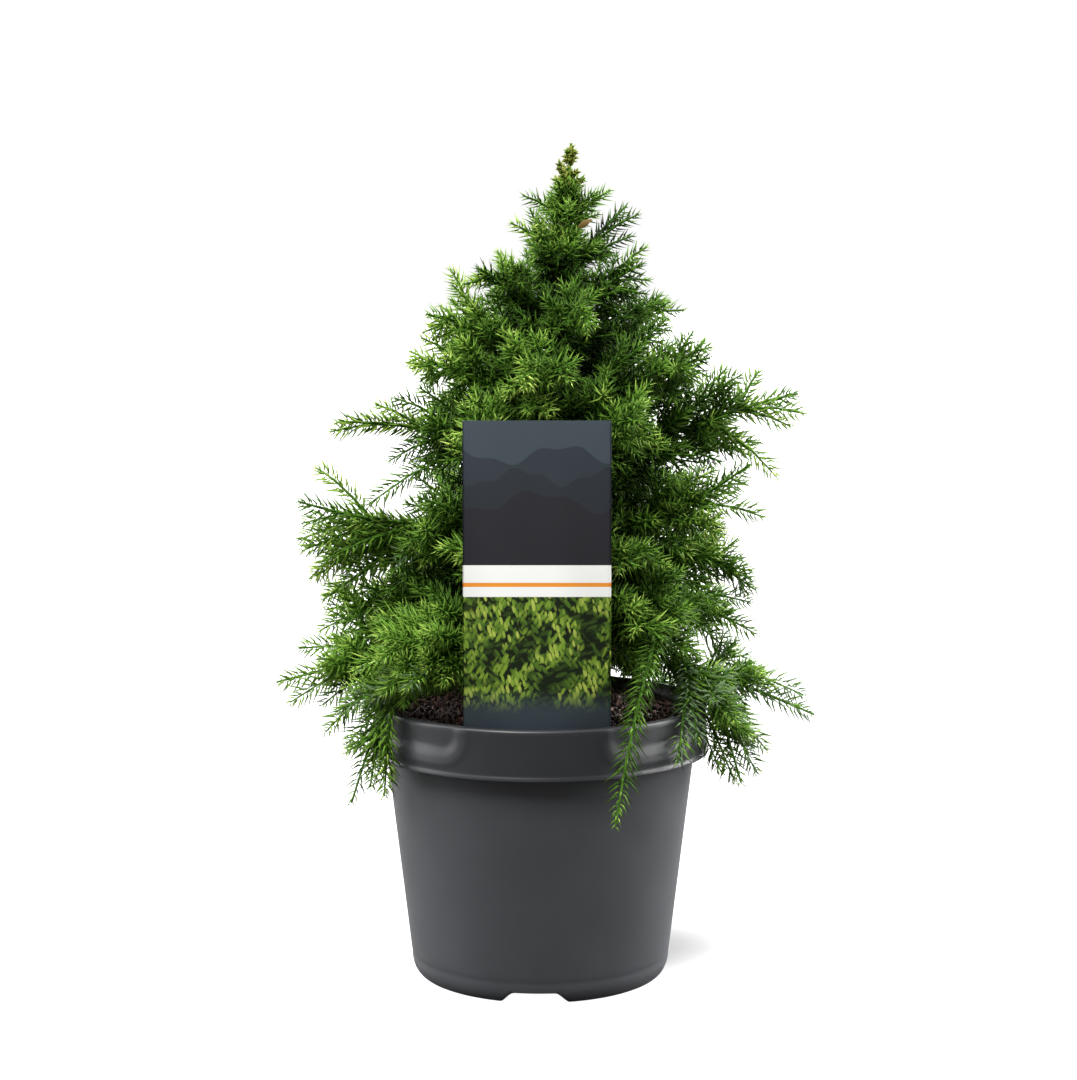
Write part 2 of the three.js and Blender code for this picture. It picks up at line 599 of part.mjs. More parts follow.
/** The soil fills the pot up to a slightly hilly top, flat under the trunk. */
function soilGeometry() {
  const inner = (z) => wallRadius(z) - POT_WALL - SOIL_GAP;
  const bottom = FLOOR_UNDERSIDE + FLOOR_THICKNESS + CLEARANCE;
  const topRadius = inner(SOIL_TOP);
  const outline = [[0, bottom], [inner(FOOT_ROUND) - 3, bottom], [inner(FOOT_ROUND + 1), FOOT_ROUND + 1]];
  const lower = outline.length;
  for (const share of [1, 0.84, 0.62, 0.38, 0.16, 0]) outline.push([topRadius * share, SOIL_TOP]);
  const profile = outline.map(([radius, height]) => new THREE.Vector2(radius, height));
  const geometry = new THREE.LatheGeometry(profile, SOIL_SIDES);
  geometry.rotateX(90 * RAD);
  const place = geometry.attributes.position;
  const random = seeded(41);
  const phases = [random(), random(), random()].map((value) => value * Math.PI * 2);
  for (let i = 0; i < place.count; i++) {
    const x = place.getX(i);
    const y = place.getY(i);
    if (i % outline.length < lower || Math.hypot(x, y) < topRadius * 0.2) continue;
    const ridges = Math.sin((x - y) / 11 + phases[2]) * 0.3;
    const hills = Math.sin(x / 17 + phases[0]) * Math.cos(y / 14 + phases[1]) * 0.6;
    place.setZ(i, SOIL_TOP + SOIL_HILLOCK * (hills + ridges));
  }
  return geometry;
}

// ---- Label ----

/** The label's outline: a card with round corners above, a peg with a point below. */
function labelGeometry(grown) {
  const half = LABEL_WIDTH / 2 + grown;
  const peg = PEG_WIDTH / 2 + grown;
  const top = LABEL_TOP + grown;
  const foot = LABEL_FOOT - grown;
  const shape = new THREE.Shape();
  shape.moveTo(-peg, foot).lineTo(-half + LABEL_CORNER, foot);
  shape.absarc(-half + LABEL_CORNER, foot + LABEL_CORNER, LABEL_CORNER, -90 * RAD, 180 * RAD, true);
  shape.absarc(-half + LABEL_CORNER, top - LABEL_CORNER, LABEL_CORNER, 180 * RAD, 90 * RAD, true);
  shape.absarc(half - LABEL_CORNER, top - LABEL_CORNER, LABEL_CORNER, 90 * RAD, 0, true);
  shape.absarc(half - LABEL_CORNER, foot + LABEL_CORNER, LABEL_CORNER, 0, -90 * RAD, true);
  shape.lineTo(peg, foot).lineTo(peg * 0.7, PEG_POINT + 10).lineTo(0, PEG_POINT - grown);
  shape.lineTo(-peg * 0.7, PEG_POINT + 10);
  const depth = LABEL_THICKNESS + grown * 2;
  const geometry = new THREE.ExtrudeGeometry(shape, { depth, bevelEnabled: false, curveSegments: 3 });
  geometry.translate(0, 0, -grown);
  geometry.rotateX(90 * RAD);
  geometry.translate(LABEL_X, LABEL_Y + LABEL_THICKNESS, 0);
  return geometry;
}

// ---- Assembly ----

const materials = {
  pot: new THREE.MeshStandardMaterial({ color: "#4a4b4f", roughness: 0.5, metalness: 0 }),
  soil: new THREE.MeshStandardMaterial({ color: "#2c1d18", roughness: 1, metalness: 0 }),
  label: new THREE.MeshStandardMaterial({ color: "#3d434a", roughness: 0.35, metalness: 0 }),
  bark: new THREE.MeshStandardMaterial({ color: "#5a4030", roughness: 0.9, metalness: 0 }),
  foliage: new THREE.MeshStandardMaterial({ color: "#3f7a1f", roughness: 0.6, metalness: 0 }),
};

const plant = new THREE.Group();

/** Adds one named sub-part. */
function add(name, geometry, material) {
  const mesh = new THREE.Mesh(geometry, materials[material]);
  mesh.name = name;
  plant.add(mesh);
}

const trunkClear = trunkSolid(CLEARANCE);
const stems = makeStems();
const boughStems = stems.filter((stem) => stem.bough);
const boughPoints = boughStems.flatMap((stem) => {
  return BOUGH_BODY.map((share) => stem.curve.getPoint(stem.bough * share));
});
const plan = { sites: claimSpace(stems), boughPoints };

add("pot", potGeometry(), "pot");
add("potting_soil", geometryOf(solidOf(soilGeometry()).subtract(solidOf(labelGeometry(CLEARANCE)))), "soil");
add("plant_label", labelGeometry(0), "label");
add("trunk", geometryOf(trunkSolid(0)), "bark");
for (const stem of boughStems) add(`bough_${stem.name}`, geometryOf(boughSolid(stem, trunkClear)), "bark");
stems.forEach((stem, index) => {
  add(`foliage_${stem.name}`, geometryOf(massSolid(stem, index, plan, trunkClear)), "foliage");
});

export default plant;
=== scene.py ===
# A young dwarf Japanese cedar (cryptomeria) in its nursery pot, put together as it stands: the pot with its soil
# and plant label, the trunk and boughs, then the twigs and the needles that grow on from them. Sizes are in
# millimetres with +Z up and -Y to the front, and MM turns them into metres.
import math

import bpy
import numpy as np
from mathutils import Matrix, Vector, noise


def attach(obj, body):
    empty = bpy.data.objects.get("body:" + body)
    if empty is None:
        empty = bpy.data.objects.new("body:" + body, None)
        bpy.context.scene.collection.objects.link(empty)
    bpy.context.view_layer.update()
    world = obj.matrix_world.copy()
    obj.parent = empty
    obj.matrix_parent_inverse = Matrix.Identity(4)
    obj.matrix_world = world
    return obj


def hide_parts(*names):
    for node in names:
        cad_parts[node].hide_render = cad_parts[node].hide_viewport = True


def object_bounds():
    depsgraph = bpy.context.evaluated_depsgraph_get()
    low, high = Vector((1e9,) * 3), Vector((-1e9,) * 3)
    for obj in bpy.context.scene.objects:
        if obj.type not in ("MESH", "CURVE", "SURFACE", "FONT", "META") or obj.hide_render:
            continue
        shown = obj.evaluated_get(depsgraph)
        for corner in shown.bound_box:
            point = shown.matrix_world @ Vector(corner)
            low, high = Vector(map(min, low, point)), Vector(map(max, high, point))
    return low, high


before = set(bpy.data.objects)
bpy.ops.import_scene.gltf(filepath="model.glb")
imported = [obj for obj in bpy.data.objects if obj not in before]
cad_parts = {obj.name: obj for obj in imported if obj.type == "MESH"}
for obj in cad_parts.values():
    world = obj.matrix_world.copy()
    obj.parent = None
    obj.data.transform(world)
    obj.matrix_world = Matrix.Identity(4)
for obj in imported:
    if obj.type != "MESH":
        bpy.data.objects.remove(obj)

cad_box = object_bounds()
MM = 0.001

# ---- Pot ----
# A three-litre nursery pot in charcoal polypropylene, injection-moulded: one thin wall, turned down outside into
# a band, with four thumb recesses in the band and four notches under the foot that let water drain away.
POT_HEIGHT = 156.4
POT_WALL = 1.6
POT_TURN = math.radians(-2.6)
POT_SIDES = 480
RIM_RADIUS = 95.5
RIM_TOP_RADIUS = 93.6
RIM_ROUND = 1.8
SKIRT_FOOT = 128.9
BEAD = 0.5  # along the band's lower edge
BODY_TOP_RADIUS = 87.4
BODY_FOOT_RADIUS = 73.3
FOOT_RADIUS = 66
FOOT_ROUND = 11
FLOOR_UNDERSIDE = 8.5
FLOOR_TOP = 10.5
STEP_HEIGHT = 12.8  # of the line where the two halves of the mould met
STEP = 0.15
FOOT_INSIDE = 62.5  # between here and the outside runs the foot ring that the notches cut
NOTCH_HEIGHT = 7
NOTCH_HALF_ANGLE = math.radians(8.6)
NOTCH_RAMP = math.radians(8.5)
RECESS_DEPTH = 1.3
RECESS_HEIGHT = 14.5
RECESS_HALF_WIDTH = 30.5
RECESS_CORNER = 9
RECESS_RAMP = 8
RECESS_LIP = 0.25
RECESS_LIP_WIDTH = 2
BAND_INSIDE = 90.4
QUARTER = math.pi / 2


def wall_radius(z):
    """The outside of the pot's wall at a height."""
    share = (z - FOOT_ROUND) / (SKIRT_FOOT - FOOT_ROUND)
    return BODY_FOOT_RADIUS + (BODY_TOP_RADIUS - BODY_FOOT_RADIUS) * share


def band_radius(z):
    """The outside of the turned-down band at a height."""
    share = (POT_HEIGHT - z) / (POT_HEIGHT - SKIRT_FOOT)
    return RIM_TOP_RADIUS + (RIM_RADIUS - BEAD - RIM_TOP_RADIUS) * share


def turned(name, rings, sides):
    """A body of revolution: a filled circle is drawn out ring by ring, a radius and a height each."""
    bpy.ops.object.select_all(action="DESELECT")
    radius, height = rings[0]
    bpy.ops.mesh.primitive_circle_add(
        vertices=sides, radius=radius * MM, fill_type="NGON", location=(0, 0, height * MM)
    )
    piece = bpy.context.object
    piece.name = piece.data.name = name
    bpy.ops.object.transform_apply(location=True, rotation=True, scale=True)
    bpy.ops.object.mode_set(mode="EDIT")
    bpy.ops.mesh.select_all(action="SELECT")
    for next_radius, next_height in rings[1:]:
        rise = (0, 0, (next_height - height) * MM)
        bpy.ops.mesh.extrude_region_move(TRANSFORM_OT_translate={"value": rise})
        growth = next_radius / radius
        bpy.ops.transform.resize(value=(growth, growth, 1), center_override=(0, 0, 0))
        radius, height = next_radius, next_height
    bpy.ops.mesh.select_all(action="SELECT")
    bpy.ops.mesh.normals_make_consistent(inside=False)
    bpy.ops.object.mode_set(mode="OBJECT")
    return piece


def points_of(piece):
    """The places of a piece's vertices, in millimetres."""
    points = np.empty(len(piece.data.vertices) * 3)
    piece.data.vertices.foreach_get("co", points)
    return points.reshape(-1, 3) / MM


def move_points(piece, points):
    """Puts a piece's vertices at these places, in millimetres."""
    piece.data.vertices.foreach_set("co", (points * MM).ravel())
    piece.data.update()


def smooth_under(piece, degrees):
    """Shades a piece smooth, but keeps edges sharp that turn by more than this."""
    bpy.ops.object.select_all(action="DESELECT")
    piece.select_set(True)
    bpy.context.view_layer.objects.active = piece
    bpy.ops.object.shade_smooth_by_angle(angle=math.radians(degrees))


def ease(value):
    """A smooth passage from 0 to 1."""
    held = np.clip(value, 0, 1)
    return held * held * (3 - 2 * held)


def linear(colour):
    """An sRGB colour, written as rrggbb, in the linear values that a shader takes."""
    parts = [int(colour[i : i + 2], 16) / 255 for i in (0, 2, 4)]
    return [c / 12.92 if c <= 0.04045 else ((c + 0.055) / 1.055) ** 2.4 for c in parts] + [1.0]


def feed(node, inputs):
    """Gives a node's inputs a value each, a colour as rrggbb, or the output or the node that feeds it."""
    for name, value in inputs.items():
        if isinstance(value, bpy.types.Node):
            value = next(output for output in value.outputs if output.enabled)
        if isinstance(value, bpy.types.NodeSocket):
            node.id_data.links.new(value, node.inputs[name])
        else:
            node.inputs[name].default_value = linear(value) if isinstance(value, str) else value


def add_node(tree, kind, inputs, **settings):
    """Adds a shader node with its settings, and feeds its inputs."""
    node = tree.nodes.new("ShaderNode" + kind)
    for name, value in settings.items():
        setattr(node, name, value)
    feed(node, inputs)
    return node


def start_material(name, colour, roughness, specular=0.5):
    """A material with plain values on its surface: the material, its tree and its surface."""
    material = bpy.data.materials.new(name)
    material.use_nodes = True
    surface = material.node_tree.nodes["Principled BSDF"]
    feed(surface, {"Base Color": colour, "Roughness": roughness, "Specular IOR Level": specular})
    return material, material.node_tree, surface


foot_round = [
    (FOOT_RADIUS + (BODY_FOOT_RADIUS - FOOT_RADIUS) * math.sin(turn), FOOT_ROUND * (1 - math.cos(turn)))
    for turn in np.linspace(0, 1, 9) * QUARTER
]
rim_round = [
    (RIM_TOP_RADIUS - RIM_ROUND * (1 - math.cos(turn)), POT_HEIGHT - RIM_ROUND * (1 - math.sin(turn)))
    for turn in np.linspace(0, 1, 6) * QUARTER
]
# The pad in the middle of the underside, the underside and the inside of the foot ring.
pot_rings = [(12, 0), (13, 0.7), (15, 8.1), (16, FLOOR_UNDERSIDE)]
pot_rings += [(61.4, FLOOR_UNDERSIDE), (62.1, 8), (62.8, 0.7), (63.3, 0)]
# The outside of the foot, the mould's line and the wall, up under the band.
pot_rings += foot_round
pot_rings += [(wall_radius(STEP_HEIGHT) - STEP, STEP_HEIGHT), (wall_radius(STEP_HEIGHT), STEP_HEIGHT + 0.5)]
pot_rings += [(wall_radius(z), z) for z in np.linspace(16, 152, 24)]
pot_rings += [(wall_radius(154) + 0.8, 154.6), (RIM_TOP_RADIUS - 2.4, 154.8)]
# The band: down its inside, round the bead at its lower edge, up its outside and over the rim.
pot_rings += [(band_radius(z) - POT_WALL, z) for z in np.linspace(153.6, 131, 12)]
pot_rings += [(RIM_RADIUS - POT_WALL, 129.4), (RIM_RADIUS - 1.2, SKIRT_FOOT), (RIM_RADIUS - 0.5, SKIRT_FOOT)]
pot_rings += [(RIM_RADIUS, 129.4), (RIM_RADIUS, 130.4), (RIM_RADIUS - 0.5, 131.2)]
pot_rings += [(band_radius(z), z) for z in np.linspace(132, 153.8, 26)]
pot_rings += rim_round
# The wall's inside and the floor.
pot_rings += [(90.6, POT_HEIGHT), (wall_radius(POT_HEIGHT) - POT_WALL + 0.4, POT_HEIGHT - 0.2)]
pot_rings += [(wall_radius(z) - POT_WALL, z) for z in (155.4, 150, 140, 120, 80, 40, 12)]
pot_rings += [(BODY_FOOT_RADIUS - POT_WALL - 3, FLOOR_TOP), (40, FLOOR_TOP)]

pot = turned("pot_moulded", pot_rings, POT_SIDES)
place = points_of(pot)
radius = np.hypot(place[:, 0], place[:, 1])
angle = np.arctan2(place[:, 1], place[:, 0]) - POT_TURN
height = place[:, 2].copy()

off_notch = np.abs((angle + QUARTER / 2) % QUARTER - QUARTER / 2)
notched = ease((NOTCH_HALF_ANGLE + NOTCH_RAMP - off_notch) / NOTCH_RAMP)
at_foot = (radius > FOOT_INSIDE) & (height < NOTCH_HEIGHT)
place[at_foot, 2] = np.maximum(height, notched * NOTCH_HEIGHT)[at_foot]

off_recess = np.abs(angle % QUARTER - QUARTER / 2) * RIM_TOP_RADIUS
beyond_side = np.maximum(off_recess - (RECESS_HALF_WIDTH - RECESS_CORNER), 0)
beyond_foot = np.maximum(POT_HEIGHT - height - (RECESS_HEIGHT - RECESS_CORNER), 0)
from_border = np.hypot(beyond_side, beyond_foot) - RECESS_CORNER
sunk = ease(0.5 - from_border / RECESS_RAMP) * RECESS_DEPTH
lip = RECESS_LIP * np.exp(-(((from_border - RECESS_RAMP * 0.8) / RECESS_LIP_WIDTH) ** 2))
in_band = (radius > BAND_INSIDE) & (height > SKIRT_FOOT + 1)
outside = in_band & (radius > band_radius(height) - POT_WALL / 2 - RIM_ROUND * (height > 154))
shift = np.where(in_band, -sunk, 0) + np.where(outside, lip, 0)
place[:, 0] *= 1 + shift / radius
place[:, 1] *= 1 + shift / radius
move_points(pot, place)
smooth_under(pot, 40)

# Polypropylene, moulded against a fine-grained steel: a dull satin that turns glossy towards the edges of the
# view, with soft clouds where the recycled pigment mixed unevenly. The turned-down band is painted darker: painted
# shade for the shade that the foliage and label cast on it. The grain is 0.3 mm, drawn at 1 mm to show.
plastic, tree, surface = start_material("moulded_polypropylene", "3f4043", 0.4, 0.42)
where = add_node(tree, "TexCoord", {}).outputs["Object"]
clouds = add_node(tree, "TexNoise", {"Vector": where, "Scale": 1 / 0.035, "Detail": 3.0})
tones = add_node(tree, "Mix", {0: clouds, 6: "3a3b3e", 7: "424346"}, data_type="RGBA")
level = add_node(tree, "SeparateXYZ", {"Vector": where}).outputs["Z"]
# Painted shade: from 129 to 130 mm up the mix rises to 0.85 and stays there, taking the band and rim most of the
# way to near black.
band_painted_shade = add_node(tree, "MapRange", {"Value": level, "From Min": 129 * MM, "From Max": 130 * MM, "To Max": 0.85})
band_shaded_colour = add_node(tree, "Mix", {0: band_painted_shade, 6: tones, 7: "1c1d20"}, data_type="RGBA")
dulling = {"Value": clouds, "From Min": 0.3, "From Max": 0.7, "To Min": 0.34, "To Max": 0.44}
dulled = add_node(tree, "MapRange", dulling)
grain = add_node(tree, "TexNoise", {"Vector": where, "Scale": 1 / 0.001, "Detail": 2.0})
relief = add_node(tree, "Bump", {"Height": grain, "Strength": 0.12, "Distance": 0.0002})
feed(surface, {"Base Color": band_shaded_colour, "Roughness": dulled, "Normal": relief})
pot.data.materials.append(plastic)
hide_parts("pot")
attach(pot, "root")

# ---- Potting soil ----
# Peat and composted bark fill the pot to 8 mm under its rim. The fill is one turned body with a hilly top, and
# loose crumbs of peat, chips of bark and grains of pale grit lie on it.
SOIL_TOP = 148.4
SOIL_EDGE = wall_radius(SOIL_TOP) - POT_WALL - 0.9
SOIL_SIDES = 160
CRUMBS = 2600
CRUMB_SHARES = (0.72, 0.22, 0.06)  # of peat, of bark and of grit
CRUMB_HALVES = np.array([1.35, 1.5, 0.75])
CRUMB_SHAPES = np.array([[1, 0.85, 0.75], [1.5, 0.8, 0.4], [1, 0.9, 0.8]])
CRUMB_LARGEST = 2.6
TRUNK_ROOM = 12
PEG_ROOM = 14
PEG_Y = -77.5


def hills(x, y):
    """The height of the soil's top over its level, level round the trunk."""
    flat = ease((np.hypot(x, y) - TRUNK_ROOM) / 14)
    ridges = np.sin((x - y) / 11 + 2.3) * 0.3 + np.sin(x / 5.3) * np.cos(y / 4.1) * 0.35
    return flat * (np.sin(x / 17 + 0.9) * np.cos(y / 14 + 4.1) * 0.9 + ridges)


soil_rings = [(30, 10.8), (67, 10.8), (69.5, 12), (SOIL_EDGE - 0.4, SOIL_TOP - 1.5), (SOIL_EDGE, SOIL_TOP)]
soil_rings += [(r, SOIL_TOP) for r in np.linspace(SOIL_EDGE - 1.5, 1.5, 40)]
soil = turned("soil_fill", soil_rings, SOIL_SIDES)
place = points_of(soil)
on_top = (place[:, 2] > SOIL_TOP - 0.2) & (np.hypot(place[:, 0], place[:, 1]) < SOIL_EDGE - 0.5)
place[on_top, 2] += hills(place[on_top, 0], place[on_top, 1])
move_points(soil, place)
smooth_under(soil, 60)

# Damp peat: nearly black-brown, matt, crumbly at about 2 mm, and painted darker in the sunk gaps between crumbs as
# painted shade.
peat, tree, surface = start_material("damp_peat", "2a1b16", 0.95)
where = add_node(tree, "TexCoord", {}).outputs["Object"]
crumb = add_node(tree, "TexVoronoi", {"Vector": where, "Scale": 1 / 0.002})
# Painted shade: the colour darkens towards each crumb's edge, where the inverted relief sinks into a gap.
tones = add_node(tree, "Mix", {0: crumb, 6: "38251d", 7: "150d0a"}, data_type="RGBA")
relief = add_node(tree, "Bump", {"Height": crumb, "Strength": 0.7, "Distance": 0.001}, invert=True)
feed(surface, {"Base Color": tones, "Normal": relief})
soil.data.materials.append(peat)
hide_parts("potting_soil")
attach(soil, "root")


def piece_from(name, points, faces, kinds, materials):
    """A joined mesh of many small things: points in millimetres, faces all of one size, a material each."""
    mesh = bpy.data.meshes.new(name)
    count, corners = faces.shape
    mesh.vertices.add(len(points))
    mesh.vertices.foreach_set("co", (points * MM).ravel())
    mesh.loops.add(count * corners)
    mesh.loops.foreach_set("vertex_index", faces.ravel())
    mesh.polygons.add(count)
    mesh.polygons.foreach_set("loop_start", np.arange(0, count * corners, corners))
    for material in materials:
        mesh.materials.append(material)
    mesh.polygons.foreach_set("material_index", kinds)
    mesh.update(calc_edges=True)
    piece = bpy.data.objects.new(name, mesh)
    bpy.context.scene.collection.objects.link(piece)
    return piece


def turned_by_chance(rng, shapes):
    """Shapes, given as points each, turned in space by one chance quaternion each."""
    turn = rng.normal(size=(len(shapes), 1, 4))
    turn /= np.linalg.norm(turn, axis=2, keepdims=True)
    axis = turn[:, :, 1:]
    swing = 2 * np.cross(axis, shapes)
    return shapes + turn[:, :, :1] * swing + np.cross(axis, swing)


# One crumb is an icosphere of 20 faces. Each copy is squeezed, dented and turned by chance, and sunk a little.
bpy.ops.object.select_all(action="DESELECT")
bpy.ops.mesh.primitive_ico_sphere_add(subdivisions=1, radius=1)
crumb_model = bpy.context.object
ball = points_of(crumb_model) * MM
ball_faces = np.array([face.vertices[:] for face in crumb_model.data.polygons])
bpy.data.objects.remove(crumb_model)
rng = np.random.default_rng(7)
spread = np.sqrt(rng.uniform(0, 1, CRUMBS)) * (SOIL_EDGE - 1.5)
bearing = rng.uniform(0, 2 * math.pi, CRUMBS)
middle = np.stack([spread * np.cos(bearing), spread * np.sin(bearing)], 1)
kind = rng.choice(3, CRUMBS, p=CRUMB_SHARES)
half = np.minimum(CRUMB_HALVES[kind] * np.exp(rng.normal(0, 0.32, CRUMBS)), CRUMB_LARGEST)
squeeze = CRUMB_SHAPES[kind] * rng.uniform(0.8, 1.2, (CRUMBS, 3))
dents = rng.uniform(0.72, 1.18, (CRUMBS, len(ball), 1))
crumbs = turned_by_chance(rng, ball[None] * dents * (squeeze * half[:, None])[:, None, :])
level = SOIL_TOP + hills(middle[:, 0], middle[:, 1]) + half * 0.35
crumbs += np.column_stack([middle, level])[:, None]
out = np.hypot(crumbs[:, :, 0], crumbs[:, :, 1]).max(axis=1)
near_peg = (np.abs(crumbs[:, :, 1] - PEG_Y).min(axis=1) < 1.2) & (np.abs(middle[:, 0]) < PEG_ROOM)
kept = (out < SOIL_EDGE + 0.7) & ~near_peg & (spread > TRUNK_ROOM)
crumbs, kind = crumbs[kept], kind[kept]
faces = ball_faces[None] + (np.arange(len(crumbs)) * len(ball))[:, None, None]

# Crumbs of peat, chips of composted bark with a reddish break, and grains of pale grit: dull and dusty.
crumb_looks = ("peat_crumb", "35211a", 0.9), ("composted_bark", "5d3b2c", 0.8), ("pale_grit", "a39a8c", 0.7)
crumb_materials = [start_material(*look)[0] for look in crumb_looks]
kind = np.repeat(kind, len(ball_faces))
loose = piece_from("soil_crumbs", crumbs.reshape(-1, 3), faces.reshape(-1, 3), kind, crumb_materials)
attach(loose, "root")

# ---- Plant label ----
# A stiff polystyrene card on a peg, pushed into the soil just inside the rim. It is printed with a plain design
# of hills, a rule and a panel of leaves, and stands bare of any lettering.
LABEL_WIDTH = 79
LABEL_TOP = 320
LABEL_FOOT = 151
LABEL_THICKNESS = 0.9
LABEL_Y = -78
LABEL_X = -1.9
LABEL_CORNER = 1.2
PEG_HALF = 10
PEG_TAPER = ((0.7, 45), (0.12, 10))  # how much narrower the peg gets, and over what length

bpy.ops.object.select_all(action="DESELECT")
bpy.ops.mesh.primitive_cube_add(
    size=1,
    location=(LABEL_X * MM, (LABEL_Y + LABEL_THICKNESS / 2) * MM, (LABEL_TOP + LABEL_FOOT) / 2 * MM),
    scale=(LABEL_WIDTH * MM, LABEL_THICKNESS * MM, (LABEL_TOP - LABEL_FOOT) * MM),
)
label = bpy.context.object
label.name = label.data.name = "plant_label_card"
bpy.ops.object.transform_apply(location=True, rotation=True, scale=True)
bpy.ops.object.mode_set(mode="EDIT")
for peg_side in (LABEL_X - PEG_HALF, LABEL_X + PEG_HALF):
    bpy.ops.mesh.select_all(action="SELECT")
    bpy.ops.mesh.bisect(plane_co=(peg_side * MM, 0, 0), plane_no=(1, 0, 0))
bpy.ops.mesh.select_all(action="DESELECT")
bpy.ops.object.mode_set(mode="OBJECT")
for face in label.data.polygons:
    face.select = face.normal.z < -0.9 and abs(face.center.x / MM - LABEL_X) < PEG_HALF
bpy.ops.object.mode_set(mode="EDIT")
for narrowed, drop in PEG_TAPER:
    bpy.ops.mesh.extrude_region_move(TRANSFORM_OT_translate={"value": (0, 0, -drop * MM)})
    bpy.ops.transform.resize(value=(narrowed, 1, 1), center_override=(LABEL_X * MM, LABEL_Y * MM, 0))
bpy.ops.object.mode_set(mode="OBJECT")
for edge in label.data.edges:
    ends = [label.data.vertices[i].co / MM for i in edge.vertices]
    at_corner = all(abs(abs(end.x - LABEL_X) - LABEL_WIDTH / 2) < 0.1 for end in ends)
    edge.select = at_corner and abs(ends[0].y - ends[1].y) > 0.5
bpy.ops.object.mode_set(mode="EDIT")
bpy.ops.mesh.select_mode(type="EDGE")
bpy.ops.mesh.bevel(offset=LABEL_CORNER * MM, segments=5, affect="EDGES")
bpy.ops.object.mode_set(mode="OBJECT")
edge_round = label.modifiers.new("edge_round", "BEVEL")
edge_round.width = 0.15 * MM
edge_round.segments = 2
edge_round.limit_method = "ANGLE"
edge_round.angle_limit = math.radians(50)
bpy.ops.object.modifier_apply(modifier="edge_round")
smooth_under(label, 40)

# Printed polystyrene card: flat offset ink under a thin satin varnish. The drawing reads the card's own height
# and width: hills against a slate sky, a pale band with a thin ochre rule, and leaves 3 to 5 mm across.
card, tree, surface = start_material("printed_polystyrene", "2c3238", 0.42, 0.2)
where = add_node(tree, "TexCoord", {}).outputs["Object"]
across, _, up = add_node(tree, "SeparateXYZ", {"Vector": where}).outputs


def below(line):
    """1 under a line across the card and 0 over it, with an edge a quarter of a millimetre soft."""
    depth = add_node(tree, "Math", {0: line, 1: up}, operation="SUBTRACT")
    return add_node(tree, "MapRange", {"Value": depth, "From Min": -0.12 * MM, "From Max": 0.12 * MM})


def ridge(level, *waves):
    """A line of hills at a level: each wave is a length, a height and a phase, in millimetres."""
    line = level * MM
    for length, rise, phase in waves:
        turn = {0: across, 1: 2 * math.pi / (length * MM), 2: phase}
        wave = add_node(tree, "Math", {0: add_node(tree, "Math", turn, operation="MULTIPLY_ADD")}, operation="SINE")
        line = add_node(tree, "Math", {0: wave, 1: rise * MM, 2: line}, operation="MULTIPLY_ADD")
    return line


# Four layers of leaves, the lightest on top: their lean, width and length, how much of the panel is without them,
# and their darkest and lightest green.
LEAF_LAYERS = [
    (70, 2.6, 7.5, 0.2, "1d2b10", "33481b"),
    (-38, 2.4, 7.0, 0.36, "2b4016", "4f6c24"),
    (30, 2.2, 6.2, 0.46, "426020", "76912f"),
    (-14, 2.0, 5.4, 0.54, "66862a", "a3b04e"),
]
leaves = "141c0d"
clumps = add_node(tree, "TexNoise", {"Vector": where, "Scale": 1 / 0.014, "Detail": 1.0})
for lean, leaf_width, leaf_length, open_share, dark, light in LEAF_LAYERS:
    leaning = {"Vector": where, "Rotation": (0, math.radians(lean), 0)}
    stretched = {"Scale": (1 / (leaf_width * MM), 1, 1 / (leaf_length * MM))}
    stretched["Vector"] = add_node(tree, "Mapping", leaning, vector_type="TEXTURE")
    cells = add_node(tree, "TexVoronoi", {"Vector": add_node(tree, "Mapping", stretched), "Scale": 1.0})
    outline = add_node(tree, "MapRange", {"Value": cells, "From Min": 0.5, "From Max": 0.4})
    filled = {"Value": clumps, "From Min": open_share - 0.04, "From Max": open_share + 0.04}
    printed = add_node(tree, "Math", {0: outline, 1: add_node(tree, "MapRange", filled)}, operation="MULTIPLY")
    chance = add_node(tree, "SeparateColor", {"Color": cells.outputs["Color"]})
    green = add_node(tree, "Mix", {0: chance, 6: dark, 7: light}, data_type="RGBA")
    leaves = add_node(tree, "Mix", {0: printed, 6: leaves, 7: green}, data_type="RGBA")

# From the top down, each ink covers what lies below its line: three hills, the pale band with its rule, and the
# leaves, which fade into the slate at the foot.
ink = "394148"
for line, colour in (
    (ridge(302, (61, 4.5, 0.4), (23, 1.6, 2.0)), "2c3238"),
    (ridge(290, (47, 4.0, 3.1), (17, 1.4, 0.7)), "282c31"),
    (ridge(277, (70, 5.0, 1.7), (26, 1.8, 4.0)), "26262a"),
    (243 * MM, "e4e4e0"),
    (233.6 * MM, "dc8a2e"),
    (231.4 * MM, "e4e4e0"),
    (226 * MM, leaves),
):
    ink = add_node(tree, "Mix", {0: below(line), 6: ink, 7: colour}, data_type="RGBA")
fading = {"Value": up, "From Min": 178 * MM, "From Max": 162 * MM}
fade = add_node(tree, "MapRange", fading, interpolation_type="SMOOTHSTEP")
ink = add_node(tree, "Mix", {0: fade, 6: ink, 7: "333b41"}, data_type="RGBA")
varnish = add_node(tree, "TexNoise", {"Vector": where, "Scale": 1 / 0.02})
dulled = add_node(tree, "MapRange", {"Value": varnish, "To Min": 0.36, "To Max": 0.5})
feed(surface, {"Base Color": ink, "Roughness": dulled})
label.data.materials.append(card)
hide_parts("plant_label")
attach(label, "root")

# ---- Trunk ----
# The trunk rises from the soil with a slight flare and sway, and tapers up through the crown to the leader. Its
# bark is thin, red-brown and fibrous, in long upright strips that split and lift at their edges.
TRUNK_TOP = 418
TRUNK_RADIUS = 6.4
TRUNK_TIP_RADIUS = 1.2
ROOT_FLARE = 3.8
FLARE_HEIGHT = 16
TRUNK_FOOT_X = 1
TRUNK_TOP_X = 13
TRUNK_SWAY = 2
TRUNK_RINGS = 150
TRUNK_SIDES = 36
BARK_DEPTH = 0.5


